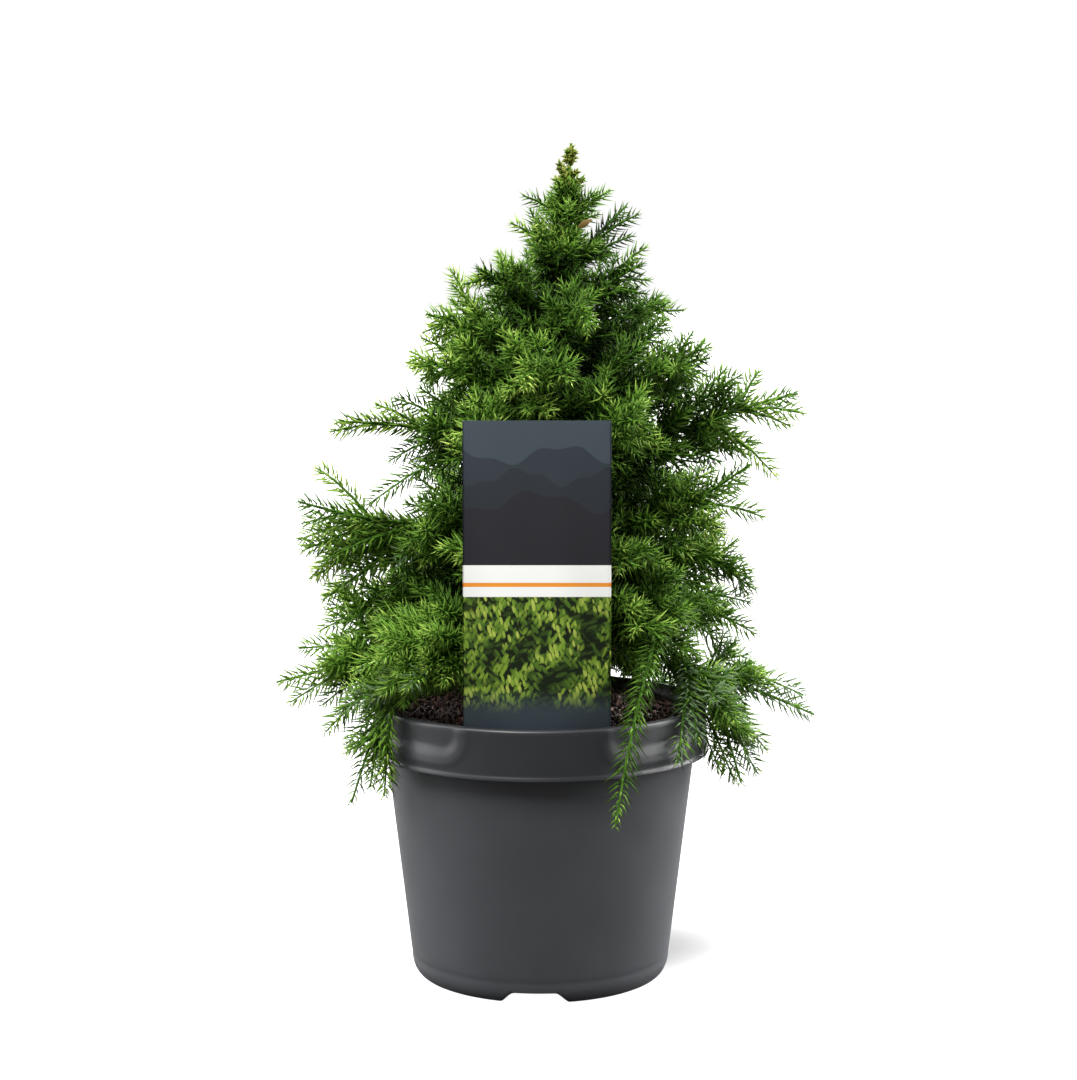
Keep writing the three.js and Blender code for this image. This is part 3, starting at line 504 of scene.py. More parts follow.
def trunk_point(z):
    """The middle of the trunk at a height, or at several."""
    z = np.asarray(z, dtype=float)
    share = (z - SOIL_TOP) / (TRUNK_TOP - SOIL_TOP)
    sway = TRUNK_SWAY * np.sin(share * math.pi * 2)
    return np.stack([TRUNK_FOOT_X + (TRUNK_TOP_X - TRUNK_FOOT_X) * share + sway, sway * 0.6, z], -1)


def trunk_radius(z):
    """The trunk's radius at a height, with the flare over its roots."""
    share = np.maximum(0, (z - SOIL_TOP) / (TRUNK_TOP - SOIL_TOP))
    flare = ROOT_FLARE * np.maximum(0, 1 - (z - SOIL_TOP) / FLARE_HEIGHT) ** 2
    return TRUNK_RADIUS + (TRUNK_TIP_RADIUS - TRUNK_RADIUS) * share**0.85 + flare


def bark_relief(points, along, depth):
    """How far strips of bark stand out at each point, from noise drawn out along the wood."""
    strips = [noise.noise(Vector((x / 1.6, y / 1.6, a / 16))) for (x, y, _), a in zip(points, along)]
    flakes = [noise.noise(Vector((x / 0.8, y / 0.8, a / 5))) for (x, y, _), a in zip(points, along)]
    return depth * (np.array(strips) + 0.5 * np.array(flakes))


levels = SOIL_TOP + 0.3 + (TRUNK_TOP - SOIL_TOP - 0.3) * np.linspace(0, 1, TRUNK_RINGS) ** 1.2
trunk = turned("trunk_bark", [(float(trunk_radius(z)), float(z)) for z in levels], TRUNK_SIDES)
place = points_of(trunk)
radius = np.hypot(place[:, 0], place[:, 1])
shift = bark_relief(place, place[:, 2], BARK_DEPTH) * ease(radius / 3)
place[:, :2] *= (1 + shift / radius)[:, None]
place[:, :2] += trunk_point(place[:, 2])[:, :2]
move_points(trunk, place)
smooth_under(trunk, 60)

# Bark of young cedar: matt and fibrous, red-brown where a strip has lifted and grey-brown where it has weathered.
# The fibres are drawn 1.5 mm wide and 20 mm long.
bark, tree, surface = start_material("fibrous_bark", "5a4030", 0.9)
where = add_node(tree, "TexCoord", {}).outputs["Object"]
drawn_out = add_node(tree, "Mapping", {"Vector": where, "Scale": (1 / 0.0015, 1 / 0.0015, 1 / 0.02)})
fibres = add_node(tree, "TexNoise", {"Vector": drawn_out, "Scale": 1.0, "Detail": 4.0})
tones = add_node(tree, "ValToRGB", {"Fac": fibres})
tone_stops = tones.color_ramp.elements
tone_stops[0].position, tone_stops[0].color = 0.3, linear("2e1f18")
tone_stops[1].position, tone_stops[1].color = 0.72, linear("8c715a")
tone_stops.new(0.5).color = linear("64452f")
relief = add_node(tree, "Bump", {"Height": fibres, "Strength": 0.6, "Distance": 0.0008})
feed(surface, {"Base Color": tones, "Normal": relief})
trunk.data.materials.append(bark)
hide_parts("trunk")
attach(trunk, "root")

# ---- Stems: where boughs and masses of needles grow ----
# Ten tiers of stems leave the trunk, each spread round it and reaching as far as the crown does on that side. Of
# four values, the first is for the right, then the back, the left and the front.
LEADER_TOP = 469
LEADER_REACH = 20
CLEARANCE = 0.3
FOOT_STAGGER = 7  # the stems of a tier leave the trunk by turns this much above and below its height
FOOT_PLAY = 1.5
TIP_PLAY = 2
BEARING_PLAY = 4
BOW_PLAY = 0.06  # as a share of the stem's length
TIP_NEEDLES = 4  # how far needles reach past a stem's end


def evenly(count, first):
    """Bearings spread evenly round the trunk."""
    return [first + 360 / count * i for i in range(count)]


# Each tier's name, bearings, height at the trunk, lift, hang, reaches and heights of its tips.
TIERS = [
    ("drape", (46, 140, 205, 292, 342), 170, 30, 6.5, (120, 118, 121, 117), (112, 112, 108, 105)),
    ("skirt", evenly(4, 4), 195, 4, 1.3, (161, 142, 154, 68), (146, 150, 165, 166)),
    ("low", evenly(5, 26), 216, 6, 1.5, (132, 124, 128, 72), (198, 196, 204, 206)),
    ("wide", evenly(6, 4), 235, 5, 1, (120, 122, 137, 72), (236, 240, 246, 246)),
    ("broad", evenly(5, -22), 254, -9, 1, (139, 120, 144, 74), (296, 278, 271, 284)),
    ("middle", evenly(6, 6), 280, 8, 1, (150, 122, 120, 78), (330, 314, 316, 318)),
    ("shoulder", evenly(5, -14), 312, 8, 1, (103, 92, 83, 82), (352, 348, 348, 350)),
    ("upper", evenly(4, 20), 345, 6, 1, (81, 70, 71, 66), (381, 378, 375, 380)),
    ("crown", evenly(3, -22), 372, 4, 1, (66, 50, 54, 46), (404, 404, 397, 404)),
    ("spire", evenly(3, 8), 396, 2, 1, (54, 25, 15, 20), (434, 421, 425, 434)),
]
BOUGH_SHARES = {"drape": 0.3, "skirt": 0.3}  # how much of a stem is a bare bough; the rest have none
BOWS = {"drape": (0, 0, 0, 40)}  # how far a stem bends to its left; the rest run straight
WORD = 0xFFFFFFFF


class Draws:
    """A seeded stream of numbers from 0 to 1, or within a range on either side of 0."""

    def __init__(self, seed):
        self.state = seed

    def __call__(self):
        self.state = (self.state + 0x6D2B79F5) & WORD
        value = ((self.state ^ self.state >> 15) * (self.state | 1)) & WORD
        value ^= (value + (((value ^ value >> 7) * (value | 61)) & WORD)) & WORD
        return ((value ^ value >> 14) & WORD) / 2**32

    def within(self, most):
        return (self() - 0.5) * 2 * most


def by_side(values, angle):
    """The value of four sides (right, back, left, front) at an angle between them."""
    quarters = np.asarray(angle) / 90 % 4
    index = np.floor(quarters).astype(int)
    passed = (1 - np.cos((quarters - index) * math.pi)) / 2
    values = np.asarray(values, dtype=float)
    return values[index] * (1 - passed) + values[(index + 1) % 4] * passed


def stem_line(foot, tip, lift, hang, bow, t):
    """Points along a stem's line from the trunk to its tip."""
    across = np.array([foot[1] - tip[1], tip[0] - foot[0], 0])
    across *= bow / max(np.linalg.norm(across), 1e-9)
    line = foot + (tip - foot) * t[:, None] + across * np.sin(t * math.pi)[:, None]
    line[:, 2] = foot[2] + (tip[2] - foot[2]) * t**hang + lift * 4 * t * (1 - t)
    return line


STEM_SAMPLES = np.linspace(0, 1, 201)
stems = []
for level, (tier, bearings, foot_height, lift, hang, reaches, tips) in enumerate(TIERS):
    for i, bearing in enumerate(bearings):
        draw = Draws(100 * (level + 1) + i)
        angle = bearing + draw.within(BEARING_PLAY)
        reach = float(by_side(reaches, angle)) - TIP_NEEDLES
        tip_height = float(by_side(tips, angle)) + draw.within(TIP_PLAY)
        stagger = (FOOT_STAGGER if i % 2 else -FOOT_STAGGER) + draw.within(FOOT_PLAY)
        turn = math.radians(angle)
        tip = np.array([math.cos(turn) * reach, math.sin(turn) * reach, tip_height])
        foot = trunk_point(foot_height + stagger)
        bow = float(by_side(BOWS.get(tier, (0, 0, 0, 0)), angle))
        bow += draw.within(BOW_PLAY) * float(np.linalg.norm(tip - foot))
        line = stem_line(foot, tip, lift, hang, bow, STEM_SAMPLES)
        share = BOUGH_SHARES.get(tier, 0)
        stems.append({"tier": tier, "name": f"{tier}_{i + 1}", "bough": share, "line": line, "draw": draw})
leader_line = stem_line(trunk_point(TRUNK_TOP), trunk_point(LEADER_TOP), 0, 1, 0, STEM_SAMPLES)
stems.append({"tier": "leader", "name": "leader", "bough": 0, "line": leader_line, "draw": Draws(900)})

for stem in stems:
    stem["length"] = float(np.linalg.norm(np.diff(stem["line"], axis=0), axis=1).sum())
    level = np.minimum(stem["line"][:, 2], TRUNK_TOP)
    away = np.linalg.norm((stem["line"] - trunk_point(level))[:, :2], axis=1)
    outside = (stem["line"][:, 2] > TRUNK_TOP + CLEARANCE) | (away > trunk_radius(level) * 0.6)
    leaves_trunk = STEM_SAMPLES[np.argmax(outside)]
    stem["start"] = stem["bough"] + CLEARANCE / stem["length"] if stem["bough"] else leaves_trunk


def at(line, share):
    """Points at shares of a line's own count of points."""
    place = np.clip(np.asarray(share, dtype=float), 0, 1) * (len(line) - 1)
    low = np.minimum(place.astype(int), len(line) - 2)
    part = (place - low)[..., None]
    return line[low] * (1 - part) + line[low + 1] * part


def unit(vectors):
    """Vectors drawn to the length of one."""
    return vectors / np.maximum(np.linalg.norm(vectors, axis=-1, keepdims=True), 1e-9)


def square_to(along):
    """Two directions that are square to each one given, and to one another."""
    steep = np.abs(along[..., 2:3]) > 0.97
    side = unit(np.cross(along, np.where(steep, [1.0, 0, 0], [0, 0, 1.0])))
    return side, np.cross(side, along)


def frames_at(line, share):
    """At shares of a line: its points, its directions, and two directions square to those."""
    share = np.asarray(share, dtype=float)
    along = unit(at(line, np.minimum(share + 0.01, 1)) - at(line, np.maximum(share - 0.01, 0)))
    return at(line, share), along, *square_to(along)


# ---- Boughs ----
# Nine lower limbs leave the trunk as bare boughs: tapering green wood in the same thin, fibrous bark, grown on to
# the trunk. They arch out over the soil, and each ends where its needles begin.
BOUGH_RADIUS = 2.7
BOUGH_TIP_RADIUS = 1.9
BOUGH_SIDES = 14
BOUGH_RINGS = 40
BOUGH_BARK_DEPTH = 0.3
BOUGH_LENGTH = 50  # as the bark's strips run along it
END_RADIUS = 0.02  # of the flat caps that close a limb


def tubes(lines, radii, sides):
    """Closed round limbs along lines of equal count: their vertices, the ways out, and four-cornered faces.
    lines is (limbs, rings, 3) and radii (limbs, rings). A limb's wall comes first, then its two flat ends."""
    limbs, rings, _ = lines.shape
    side, over = square_to(unit(np.gradient(lines, axis=1)))
    turn = np.arange(sides) * 2 * math.pi / sides
    outward = side[:, :, None] * np.cos(turn)[:, None] + over[:, :, None] * np.sin(turn)[:, None]
    points = lines[:, :, None] + outward * radii[:, :, None, None]
    ring = np.arange(rings - 1)[:, None] * sides
    corner = np.arange(sides)[None]
    after = (corner + 1) % sides
    wall = np.stack([ring + corner, ring + sides + corner, ring + sides + after, ring + after], -1).reshape(-1, 4)
    strip = np.arange(sides // 2 - 1)
    foot = np.stack([strip, strip + 1, sides - 2 - strip, sides - 1 - strip], -1)
    closed = np.concatenate([wall, foot, foot[:, ::-1] + (rings - 1) * sides])
    faces = closed[None] + (np.arange(limbs) * rings * sides)[:, None, None]
    return points, outward, faces


bough_stems = [stem for stem in stems if stem["bough"]]
ring_share = np.linspace(0, 1, BOUGH_RINGS)
lines = np.array([at(stem["line"], ring_share * stem["bough"]) for stem in bough_stems])
radii = np.tile(BOUGH_RADIUS + (BOUGH_TIP_RADIUS - BOUGH_RADIUS) * ring_share, (len(lines), 1))
radii[:, [0, -1]] = END_RADIUS
points, outward, faces = tubes(lines, radii, BOUGH_SIDES)
along = np.repeat(ring_share * BOUGH_LENGTH, BOUGH_SIDES)
for limb in range(len(lines)):
    flat = (outward[limb] * 3).reshape(-1, 3)
    lifted = bark_relief(flat[:, [0, 2, 1]], along, BOUGH_BARK_DEPTH).reshape(BOUGH_RINGS, BOUGH_SIDES, 1)
    lifted[[0, -1]] = 0
    points[limb] += outward[limb] * lifted
faces = faces.reshape(-1, 4)
boughs = piece_from("boughs_bark", points.reshape(-1, 3), faces, np.zeros(len(faces), int), [bark])
smooth_under(boughs, 60)
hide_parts(*[f"bough_{stem['name']}" for stem in bough_stems])
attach(boughs, "root")

# ---- Twigs ----
# Side shoots of thin green wood stand all round each stem by the golden angle, and finer twigs round the longer
# ones. Each keeps to the space nearest its own stem, within the crown's reach, and clear of all that is rigid.
SITE_STEP = 7
SPACE_MARGIN = 0.7
LIMB_MARGIN = 0.9
REACH_MARGIN = 2
SHOOT_RADIUS = 5
SHOOT_SPACING = 20
SHOOT_ANGLE = math.radians(50)
SHOOT_LONGEST = 54
SHOOT_SHARE = 0.5
SHOOT_SHORTEST = 13
SHOOT_FORWARD = 0.2
SHOOT_DROOP = 0.16
SHOOT_RISE = 0.1
SHOOT_CUTS = (1, 0.8, 0.6, 0.45)
GOLDEN_ANGLE = math.radians(137.5)
FILL_SPACING = 5.2  # of the shoots between the main ones
DENSE_SPACING = 3.4  # the same near the top, where the crown is closed
DENSE_FROM = 330
FILL_OVERLAP = -14  # how far these may reach past the border of their space
# The main side shoots, then those that fill in between them. Each row gives the shares of a stem where they start
# and end, the place of each in its own step and how much that varies, their length as a share of the longest, how
# much of it they lose towards the stem's tip and how much it varies, the first one's roll, and the room to spare.
SHOOT_SERIES = [
    (0.1, 0.9, 0.35, 0.3, 1, 0.6, 0.15, 0, SPACE_MARGIN),
    (0.04, 0.88, 0, 1, 0.95, 0.85, 0.3, 2.1, FILL_OVERLAP),
]
SPROUTS = 13  # short shoots that stand on the trunk beside each tier
SPROUT_LONGEST = 46
SPROUT_SHORTEST = 14
SPROUTS_FROM = 205
SPROUTS_BELOW = 8  # how far under a tier's foot they start, and over what height they stand
SPROUTS_SPAN = 34
# Whorls of buds on the leader: height, count, length, and slant from upright in degrees.
WHORLS = [
    (400, 7, 22, 60), (408, 7, 19, 56), (416, 7, 16, 50), (424, 7, 14, 48), (431, 7, 12, 46), (437, 7, 10, 46),
    (442, 7, 7, 56), (446, 7, 5, 66), (449, 6, 4, 60), (459.5, 7, 2.6, 78), (461.5, 8, 3, 66), (464, 5, 2.4, 40),
]
# Shoots that stand out alone, by stem: the share along it where each leaves, and the place of its tip.
LONE_SHOOTS = {
    "middle_4": [
        (0.62, -92, -15, 325), (0.42, -81, -21, 329), (0.45, -84, -24, 294), (0.3, -96, -32, 270),
        (0.55, -117, -21, 310), (0.35, -67, -25, 335),
    ],
    "broad_4": [
        (0.42, -75, -21, 271), (0.72, -125, -15, 290), (0.5, -133, -25, 244), (0.6, -135, -24, 250),
        (0.68, -134, -10, 258), (0.42, -121, -33, 239),
    ],
    "wide_4": [(0.55, -127, -11, 228), (0.4, -123, -6, 214), (0.45, -114, -19, 222)],
    "low_3": [(0.55, -126, 4, 195), (0.4, -119, -2, 182), (0.45, -109, -17, 184)],
    "skirt_3": [
        (0.55, -141, -13, 157), (0.6, -138, 5, 185), (0.45, -121, -21, 141), (0.3, -108, -34, 137),
        (0.5, -123, -17, 156), (0.4, -114, -26, 149), (0.35, -105, -30, 132),
    ],
    "drape_3": [
        (0.82, -85, -64, 114), (0.86, -93, -58, 118), (0.45, -102, -57, 182), (0.5, -86, -66, 171),
        (0.4, -73, -66, 174), (0.35, -62, -60, 172),
    ],
    "skirt_1": [(0.55, 152, 15, 156), (0.5, 129, -3, 127)],
    "drape_5": [(0.72, 122, -17, 117), (0.55, 101, -31, 120), (0.62, 110, -13, 111)],
    "middle_1": [
        (0.62, 133, -3, 283), (0.72, 140, -4, 312), (0.75, 123, 5, 343), (0.45, 112, -7, 341), (0.5, 105, 7, 344),
        (0.7, 148, -2, 319),
    ],
    "broad_1": [(0.66, 123, -34, 264), (0.42, 109, -24, 277), (0.5, 115, -16, 282), (0.45, 96, -31, 290)],
    "wide_1": [(0.6, 120, -1, 225), (0.45, 101, -20, 210)],
    "low_1": [(0.6, 124, 18, 191), (0.6, 122, 30, 208), (0.35, 90, -17, 182), (0.5, 111, 10, 180)],
    "shoulder_1": [(0.35, 75, -17, 359), (0.3, 70, -19, 373), (0.7, 95, -20, 357), (0.25, 62, -8, 370)],
    "upper_1": [(0.4, 71, -3, 357), (0.45, 74, 2, 365)],
    "spire_1": [(0.35, 55, 1, 430), (0.15, 52, 2, 418)],
    "leader": [
        (0.06, 39, -3, 443), (0.12, 32, -8, 442), (0.16, -10, -4, 440), (0.04, 16, -24, 436), (0.02, 33, 2, 430),
        (0.6, 10, -2, 455), (0.58, 20.5, -2, 453.5), (0.5, 24, -3, 449), (0.44, 6.5, -1, 444),
    ],
    "spire_2": [(0.3, -17, -4, 425)],
    "crown_3": [(0.3, -24, -13, 409)],
    "crown_1": [(0.55, 59, -11, 412), (0.6, 61, -8, 393)],
    "shoulder_4": [(0.6, -66, -22, 362), (0.45, -64, -26, 340)],
    "upper_3": [(0.6, -50, -12, 400), (0.6, -50, -12, 383), (0.5, -49, -12, 391)],
}
DRIED_SHOOTS = {  # the same, where they have dried
    "drape_5": [(0.75, 74, -70, 134), (0.7, 86, -58, 142)],
}
ARM_ENDS = {  # where the side shoots of a slender arm come to an end, as a share along it
    "drape_4": 0.3, "skirt_1": 0.8, "skirt_3": 0.85, "broad_1": 1.0, "broad_4": 0.8, "middle_1": 1.0,
    "middle_4": 0.7, "spire_1": 0.6,
}
TWIG_SPACING = 8.2  # of the twigs on a shoot
TWIGGY_SHARE = 0.75
TWIGS_FROM = 0.1
TWIGS_SPAN = 0.55
TWIG_LONGEST = 26
TWIG_SHARE = 0.6
TWIG_SHORTEST = 8
TWIG_FORWARD = 0.2
TWIG_DROOP = 0.12
TWIG_ANGLE = math.radians(44)
SHOOT_SAMPLES = np.linspace(0, 1, 13)
# Gaps that are open to the sky: x, z and half width.
SKY_GAPS = [(-90, 294, 9), (-92, 282, 11), (-76, 268, 9), (76, 175, 9), (70, 184, 10), (-62, 158, 12)]

sites = []
owners = []
for index, stem in enumerate(stems):
    steps = max(2, round(stem["length"] / SITE_STEP))
    claimed = stem["start"] + (1 - stem["start"]) * np.arange(steps + 1) / steps
    sites.append(at(stem["line"], claimed))
    owners += [index] * (steps + 1)
sites = np.concatenate(sites)
owners = np.array(owners)
bough_points = np.concatenate(
    [at(s["line"], s["bough"] * np.array([0.05, 0.15, 0.3, 0.45, 0.6, 0.75, 0.9, 1])) for s in bough_stems]
)


def reach_at(angle, z):
    """The crown's reach at a height and an angle: straight from the tips of one tier to the next."""
    heights = [float(by_side(tier[-1], angle)) for tier in TIERS] + [LEADER_TOP]
    reaches = [float(by_side(tier[-2], angle)) for tier in TIERS] + [LEADER_REACH]
    return float(np.interp(z, heights, reaches, right=0))


def clear_of_fixtures(points, distance):
    """Which points keep a distance from the pot, the soil, the label and the trunk."""
    x, y, z = points.T
    radius = np.hypot(x, y)
    over_soil = radius < wall_radius(POT_HEIGHT) - POT_WALL - distance
    ground = np.where(over_soil, SOIL_TOP + 1.5, POT_HEIGHT)
    in_pot = (radius < RIM_RADIUS + distance) & (z < ground + distance)
    beside = np.abs(x - LABEL_X) > LABEL_WIDTH / 2 + distance
    behind = y > LABEL_Y + LABEL_THICKNESS + distance
    at_label = ~beside & ~behind & (z < LABEL_TOP + distance) & (z > LABEL_FOOT - distance)
    level = np.minimum(z, TRUNK_TOP)
    away = np.linalg.norm((points - trunk_point(level))[:, :2], axis=1)
    at_trunk = (z < TRUNK_TOP + distance) & (away < trunk_radius(level) + distance)
    return ~(in_pot | at_label | at_trunk)


def in_sky(points):
    """Whether any point lies in a gap that the sky shows through."""
    return any((np.hypot(points[:, 0] - x, points[:, 2] - z) < half).any() for x, z, half in SKY_GAPS)


def fits(points, thickness, index, spare):
    """Whether a twig, given as points on its line, keeps to its stem's space and off every limb."""
    distance = np.linalg.norm(points[:, None] - sites[None], axis=2)
    own = distance[:, owners == index].min(axis=1)
    other = distance[:, owners != index].min(axis=1)
    if (other - own < 2 * thickness + spare).any():
        return False
    if not clear_of_fixtures(points, thickness + LIMB_MARGIN).all():
        return False
    for x, y, z in points:
        if math.hypot(x, y) > reach_at(math.degrees(math.atan2(y, x)), z) + REACH_MARGIN:
            return False
    near = np.linalg.norm(points[:, None] - bough_points[None], axis=2)
    return bool((near > BOUGH_RADIUS + thickness + LIMB_MARGIN).all())


def aslant(frame_there, angle, roll):
    """The direction that leaves a line at an angle to it, on the side given by a roll round it."""
    _, along, side, over = frame_there
    outward = side * np.cos(roll)[..., None] + over * np.sin(roll)[..., None]
    return along * np.cos(angle)[..., None] + outward * np.sin(angle)[..., None]


def shoot_line(foot, direction, length, bend):
    """A side shoot's line: straight out from its stem, then drawn towards the light or down by its weight."""
    t = SHOOT_SAMPLES[:, None]
    return foot + direction * length * t + bend * length * t * t


def grow_shoot(stem, index, share, size, turn, roll, longest, spare):
    """One side shoot of a stem, as long as its space allows, or None."""
    there = frames_at(stem["line"], stem["start"] + (1 - stem["start"]) * share)
    direction = aslant(there, SHOOT_ANGLE, roll)
    bend = there[1] * SHOOT_FORWARD + np.array([0, 0, turn])
    for cut in SHOOT_CUTS:
        length = longest * size * cut
        if length < SHOOT_SHORTEST:
            continue
        line = shoot_line(there[0], direction, length, bend)
        body_fits = fits(at(line, [0.3, 0.45, 0.7]), SHOOT_RADIUS * 0.8, index, spare)
        if body_fits and fits(at(line, [0.85, 1]), SHOOT_RADIUS * 0.2, index, spare) and not in_sky(line):
            return {"line": line, "length": length, "order": 1}
    return None


def sprout(height, length, slant, roll):
    """A short shoot that stands on the trunk or its leader."""
    out = math.sin(slant)
    direction = np.array([out * math.cos(roll), out * math.sin(roll), math.cos(slant)])
    line = shoot_line(trunk_point(height), direction, length, np.array([0, 0, 0.12]))
    return {"line": line, "length": length, "order": 1}


def sprouts_beside(foot_height, draw):
    """The sprouts on the trunk from the foot of a tier's stems up to the next, shorter and steeper higher up."""
    grown = []
    for i in range(SPROUTS):
        height = foot_height - SPROUTS_BELOW + SPROUTS_SPAN * (i + draw()) / SPROUTS
        risen = (height - SPROUTS_FROM) / (TRUNK_TOP - SPROUTS_FROM)
        length = (SPROUT_LONGEST + (SPROUT_SHORTEST - SPROUT_LONGEST) * risen) * (0.75 + 0.5 * draw())
        grown.append(sprout(height, length, math.radians(75 - 30 * risen), i * GOLDEN_ANGLE + height))
    return grown


def whorls_of_buds(draw):
    """The buds and short sprouts that stand in whorls on the leader."""
    grown = []
    for height, count, length, slant in WHORLS:
        for i in range(count):
            roll = 2 * math.pi * (i + 0.4 * draw()) / count + height
            play = 0.85 + 0.3 * draw()
            grown.append(sprout(height + 3 * draw() - 1.5, length * play, math.radians(slant), roll))
    return grown


def lone_shoots(stem, listed, dried):
    """The listed shoots of a stem that stand out alone, each arched a little on its way to its tip."""
    grown = []
    t = SHOOT_SAMPLES[:, None]
    for share, *tip in listed.get(stem["name"], ()):
        root = at(stem["line"], share)
        length = float(np.linalg.norm(tip - root))
        line = root + (tip - root) * t + np.array([0, 0, 0.3 * length]) * t * (1 - t)
        grown.append({"line": line, "length": length, "order": 1, "dried": dried})
    return grown


def slenderness(stem, share):
    """How much of its length a side shoot keeps at a share of its stem: less towards a slender arm's end."""
    return float(np.clip(2 * (1 - share / ARM_ENDS.get(stem["name"], 9)), 0, 1))


for index, stem in enumerate(stems):
    draw = stem["draw"]
    foot_height = stem["line"][0][2]
    leafy = stem["length"] * (1 - stem["start"])
    longest = min(SHOOT_LONGEST, leafy * SHOOT_SHARE)
    fill_spacing = FILL_SPACING if foot_height < DENSE_FROM else DENSE_SPACING
    counts = max(2, round(leafy / SHOOT_SPACING)), round(leafy / fill_spacing)
    shoots = []
    for count, (first, last, place, play, full, taper, size_play, first_roll, spare) in zip(counts, SHOOT_SERIES):
        for i in range(count):
            share = first + (last - first) * (i + place + play * draw()) / count
            size = full * (1 - taper * share) * (1 + size_play * (2 * draw() - 1)) * slenderness(stem, share)
            turn = -SHOOT_DROOP + (SHOOT_DROOP + SHOOT_RISE) * draw()
            roll = (i + index) * GOLDEN_ANGLE + first_roll
            shoots.append(grow_shoot(stem, index, share, size, turn, roll, longest, spare))
    shoots = [shoot for shoot in shoots if shoot]
    if stem["tier"] == "leader":
        shoots += whorls_of_buds(draw)
    elif stem["name"].endswith("_1") and foot_height > SPROUTS_FROM:
        shoots += sprouts_beside(foot_height, draw)
    lone = lone_shoots(stem, LONE_SHOOTS, False) + lone_shoots(stem, DRIED_SHOOTS, True)
    for shoot in list(shoots):
        count = round(shoot["length"] * TWIGGY_SHARE / TWIG_SPACING)
        for i in range(count):
            share = TWIGS_FROM + TWIGS_SPAN * (i + draw()) / count
            size = min(TWIG_LONGEST, shoot["length"] * TWIG_SHARE) * (1 - 0.5 * share) * (0.75 + 0.5 * draw())
            if size < TWIG_SHORTEST:
                continue
            there = frames_at(shoot["line"], share)
            direction = aslant(there, TWIG_ANGLE, (i + index) * GOLDEN_ANGLE + 6 * draw())
            bend = there[1] * TWIG_FORWARD + np.array([0, 0, -TWIG_DROOP + 2 * TWIG_DROOP * draw()])
            line = shoot_line(there[0], direction, size, bend)
            if fits(at(line, [0.5, 1]), 1, index, FILL_OVERLAP) and not in_sky(line):
                shoots.append({"line": line, "length": size, "order": 2})
    start = stem["start"]
    own_line = at(stem["line"], start + (1 - start) * SHOOT_SAMPLES)
    shoots += lone + [{"line": own_line, "length": leafy, "order": 0}]
    stem["shoots"] = shoots

# Green shoots are smooth and yellow-green; older twigs are brown and matt where needles have dropped.
twig_looks = ("young_green_bark", "466d20", 0.8, 0.1), ("twig_bark", "46301f", 0.85, 0.1)
twig_materials = [start_material(*look)[0] for look in twig_looks]
# For a stem, a shoot and a twig: radius at root and tip, where the tube has rings, and its bare woody rings.
TWIG_FORMS = [
    (1.9, 0.6, np.array([0, 0.004, 0.1, 0.2, 0.3, 0.4, 0.5, 0.6, 0.7, 0.8, 0.9, 0.995, 1]), 4),
    (1.05, 0.45, np.array([0, 0.01, 0.3, 0.65, 0.98, 1]), 0),
    (0.75, 0.4, np.array([0, 0.01, 0.5, 0.98, 1]), 0),
]
TWIG_SIDES = 4
tier_names = [tier[0] for tier in TIERS] + ["leader"]
for tier in tier_names:
    all_points, all_faces, all_woody = [], [], []
    counted = 0
    for order, (root, tip, ring_share, bare) in enumerate(TWIG_FORMS):
        shoots = [s for stem in stems if stem["tier"] == tier for s in stem["shoots"] if s["order"] == order]
        if not shoots:
            continue
        lines = np.array([at(shoot["line"], ring_share) for shoot in shoots])
        radii = np.tile(root + (tip - root) * ring_share, (len(shoots), 1))
        radii[:, [0, -1]] = END_RADIUS
        points, _, faces = tubes(lines, radii, TWIG_SIDES)
        woody = np.zeros(faces.shape[:2], int)
        woody[:, : bare * TWIG_SIDES] = 1
        all_points.append(points.reshape(-1, 3))
        all_faces.append(faces.reshape(-1, 4) + counted)
        all_woody.append(woody.ravel())
        counted += len(all_points[-1])
    points, faces, woody = (np.concatenate(parts) for parts in (all_points, all_faces, all_woody))
    twigs = piece_from(f"twigs_{tier}", points, faces, woody, twig_materials)
    smooth_under(twigs, 80)
    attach(twigs, "root")

# ---- Needles ----
# Needles stand in spirals all round every shoot: awl-shaped, curved a little inwards and pointing forwards, 9 to
# 14 mm long and a good millimetre thick. Each is a slim closed point of six faces with its root in the twig.
NEEDLE_LENGTHS = (13.5, 12, 9)  # on the lowest shoots, in the middle and on the crown's top
NEEDLE_HEIGHTS = (180, 310, 420)
NEEDLE_RADIUS = 0.68
NEEDLE_SPACING = 0.76
CLOSE_SET = {"drape_4": 0.5, "drape": 0.75}  # the spacing on some stems and tiers, as a share of that
LEADER_CLOSE_SET = 0.6
NEEDLE_ANGLE = math.radians(52)
NEEDLE_CUTS = (0.75, 0.55, 0.35)  # the lengths tried for one that has too little room
NEEDLE_CURVE = 0.3  # how much farther out the thickest part leans
THICKEST_AT = 0.28
BARE_FEET = (0.15, 0.1, 0.05)  # the share of a stem, a shoot and a twig that has no needles
YOUNG_END = 10  # of a shoot, where needles are shorter, paler and closer to it
BUDS_FROM = 441  # higher up, needles are short and thick, as on resting buds
BUD_NEEDLE_LENGTH = 3.6
TONE_HEIGHT = 300  # under it, sprays get paler and some of them greyer
FRESH_HEIGHT = 215  # under it, no spray is paler than fresh green
FRONT_TONE = 1.2  # of the shoot that hangs over the rim in front, at most
DRIED_SHARE = 0.2
DRIED_SIDES = (0.5, 5)  # times that share at the left and in the middle, and at the right
RIGHT_FROM = 60
STAND_PROUD = np.array([1, 4, 0])  # how far soft needles may pass the solids' reach
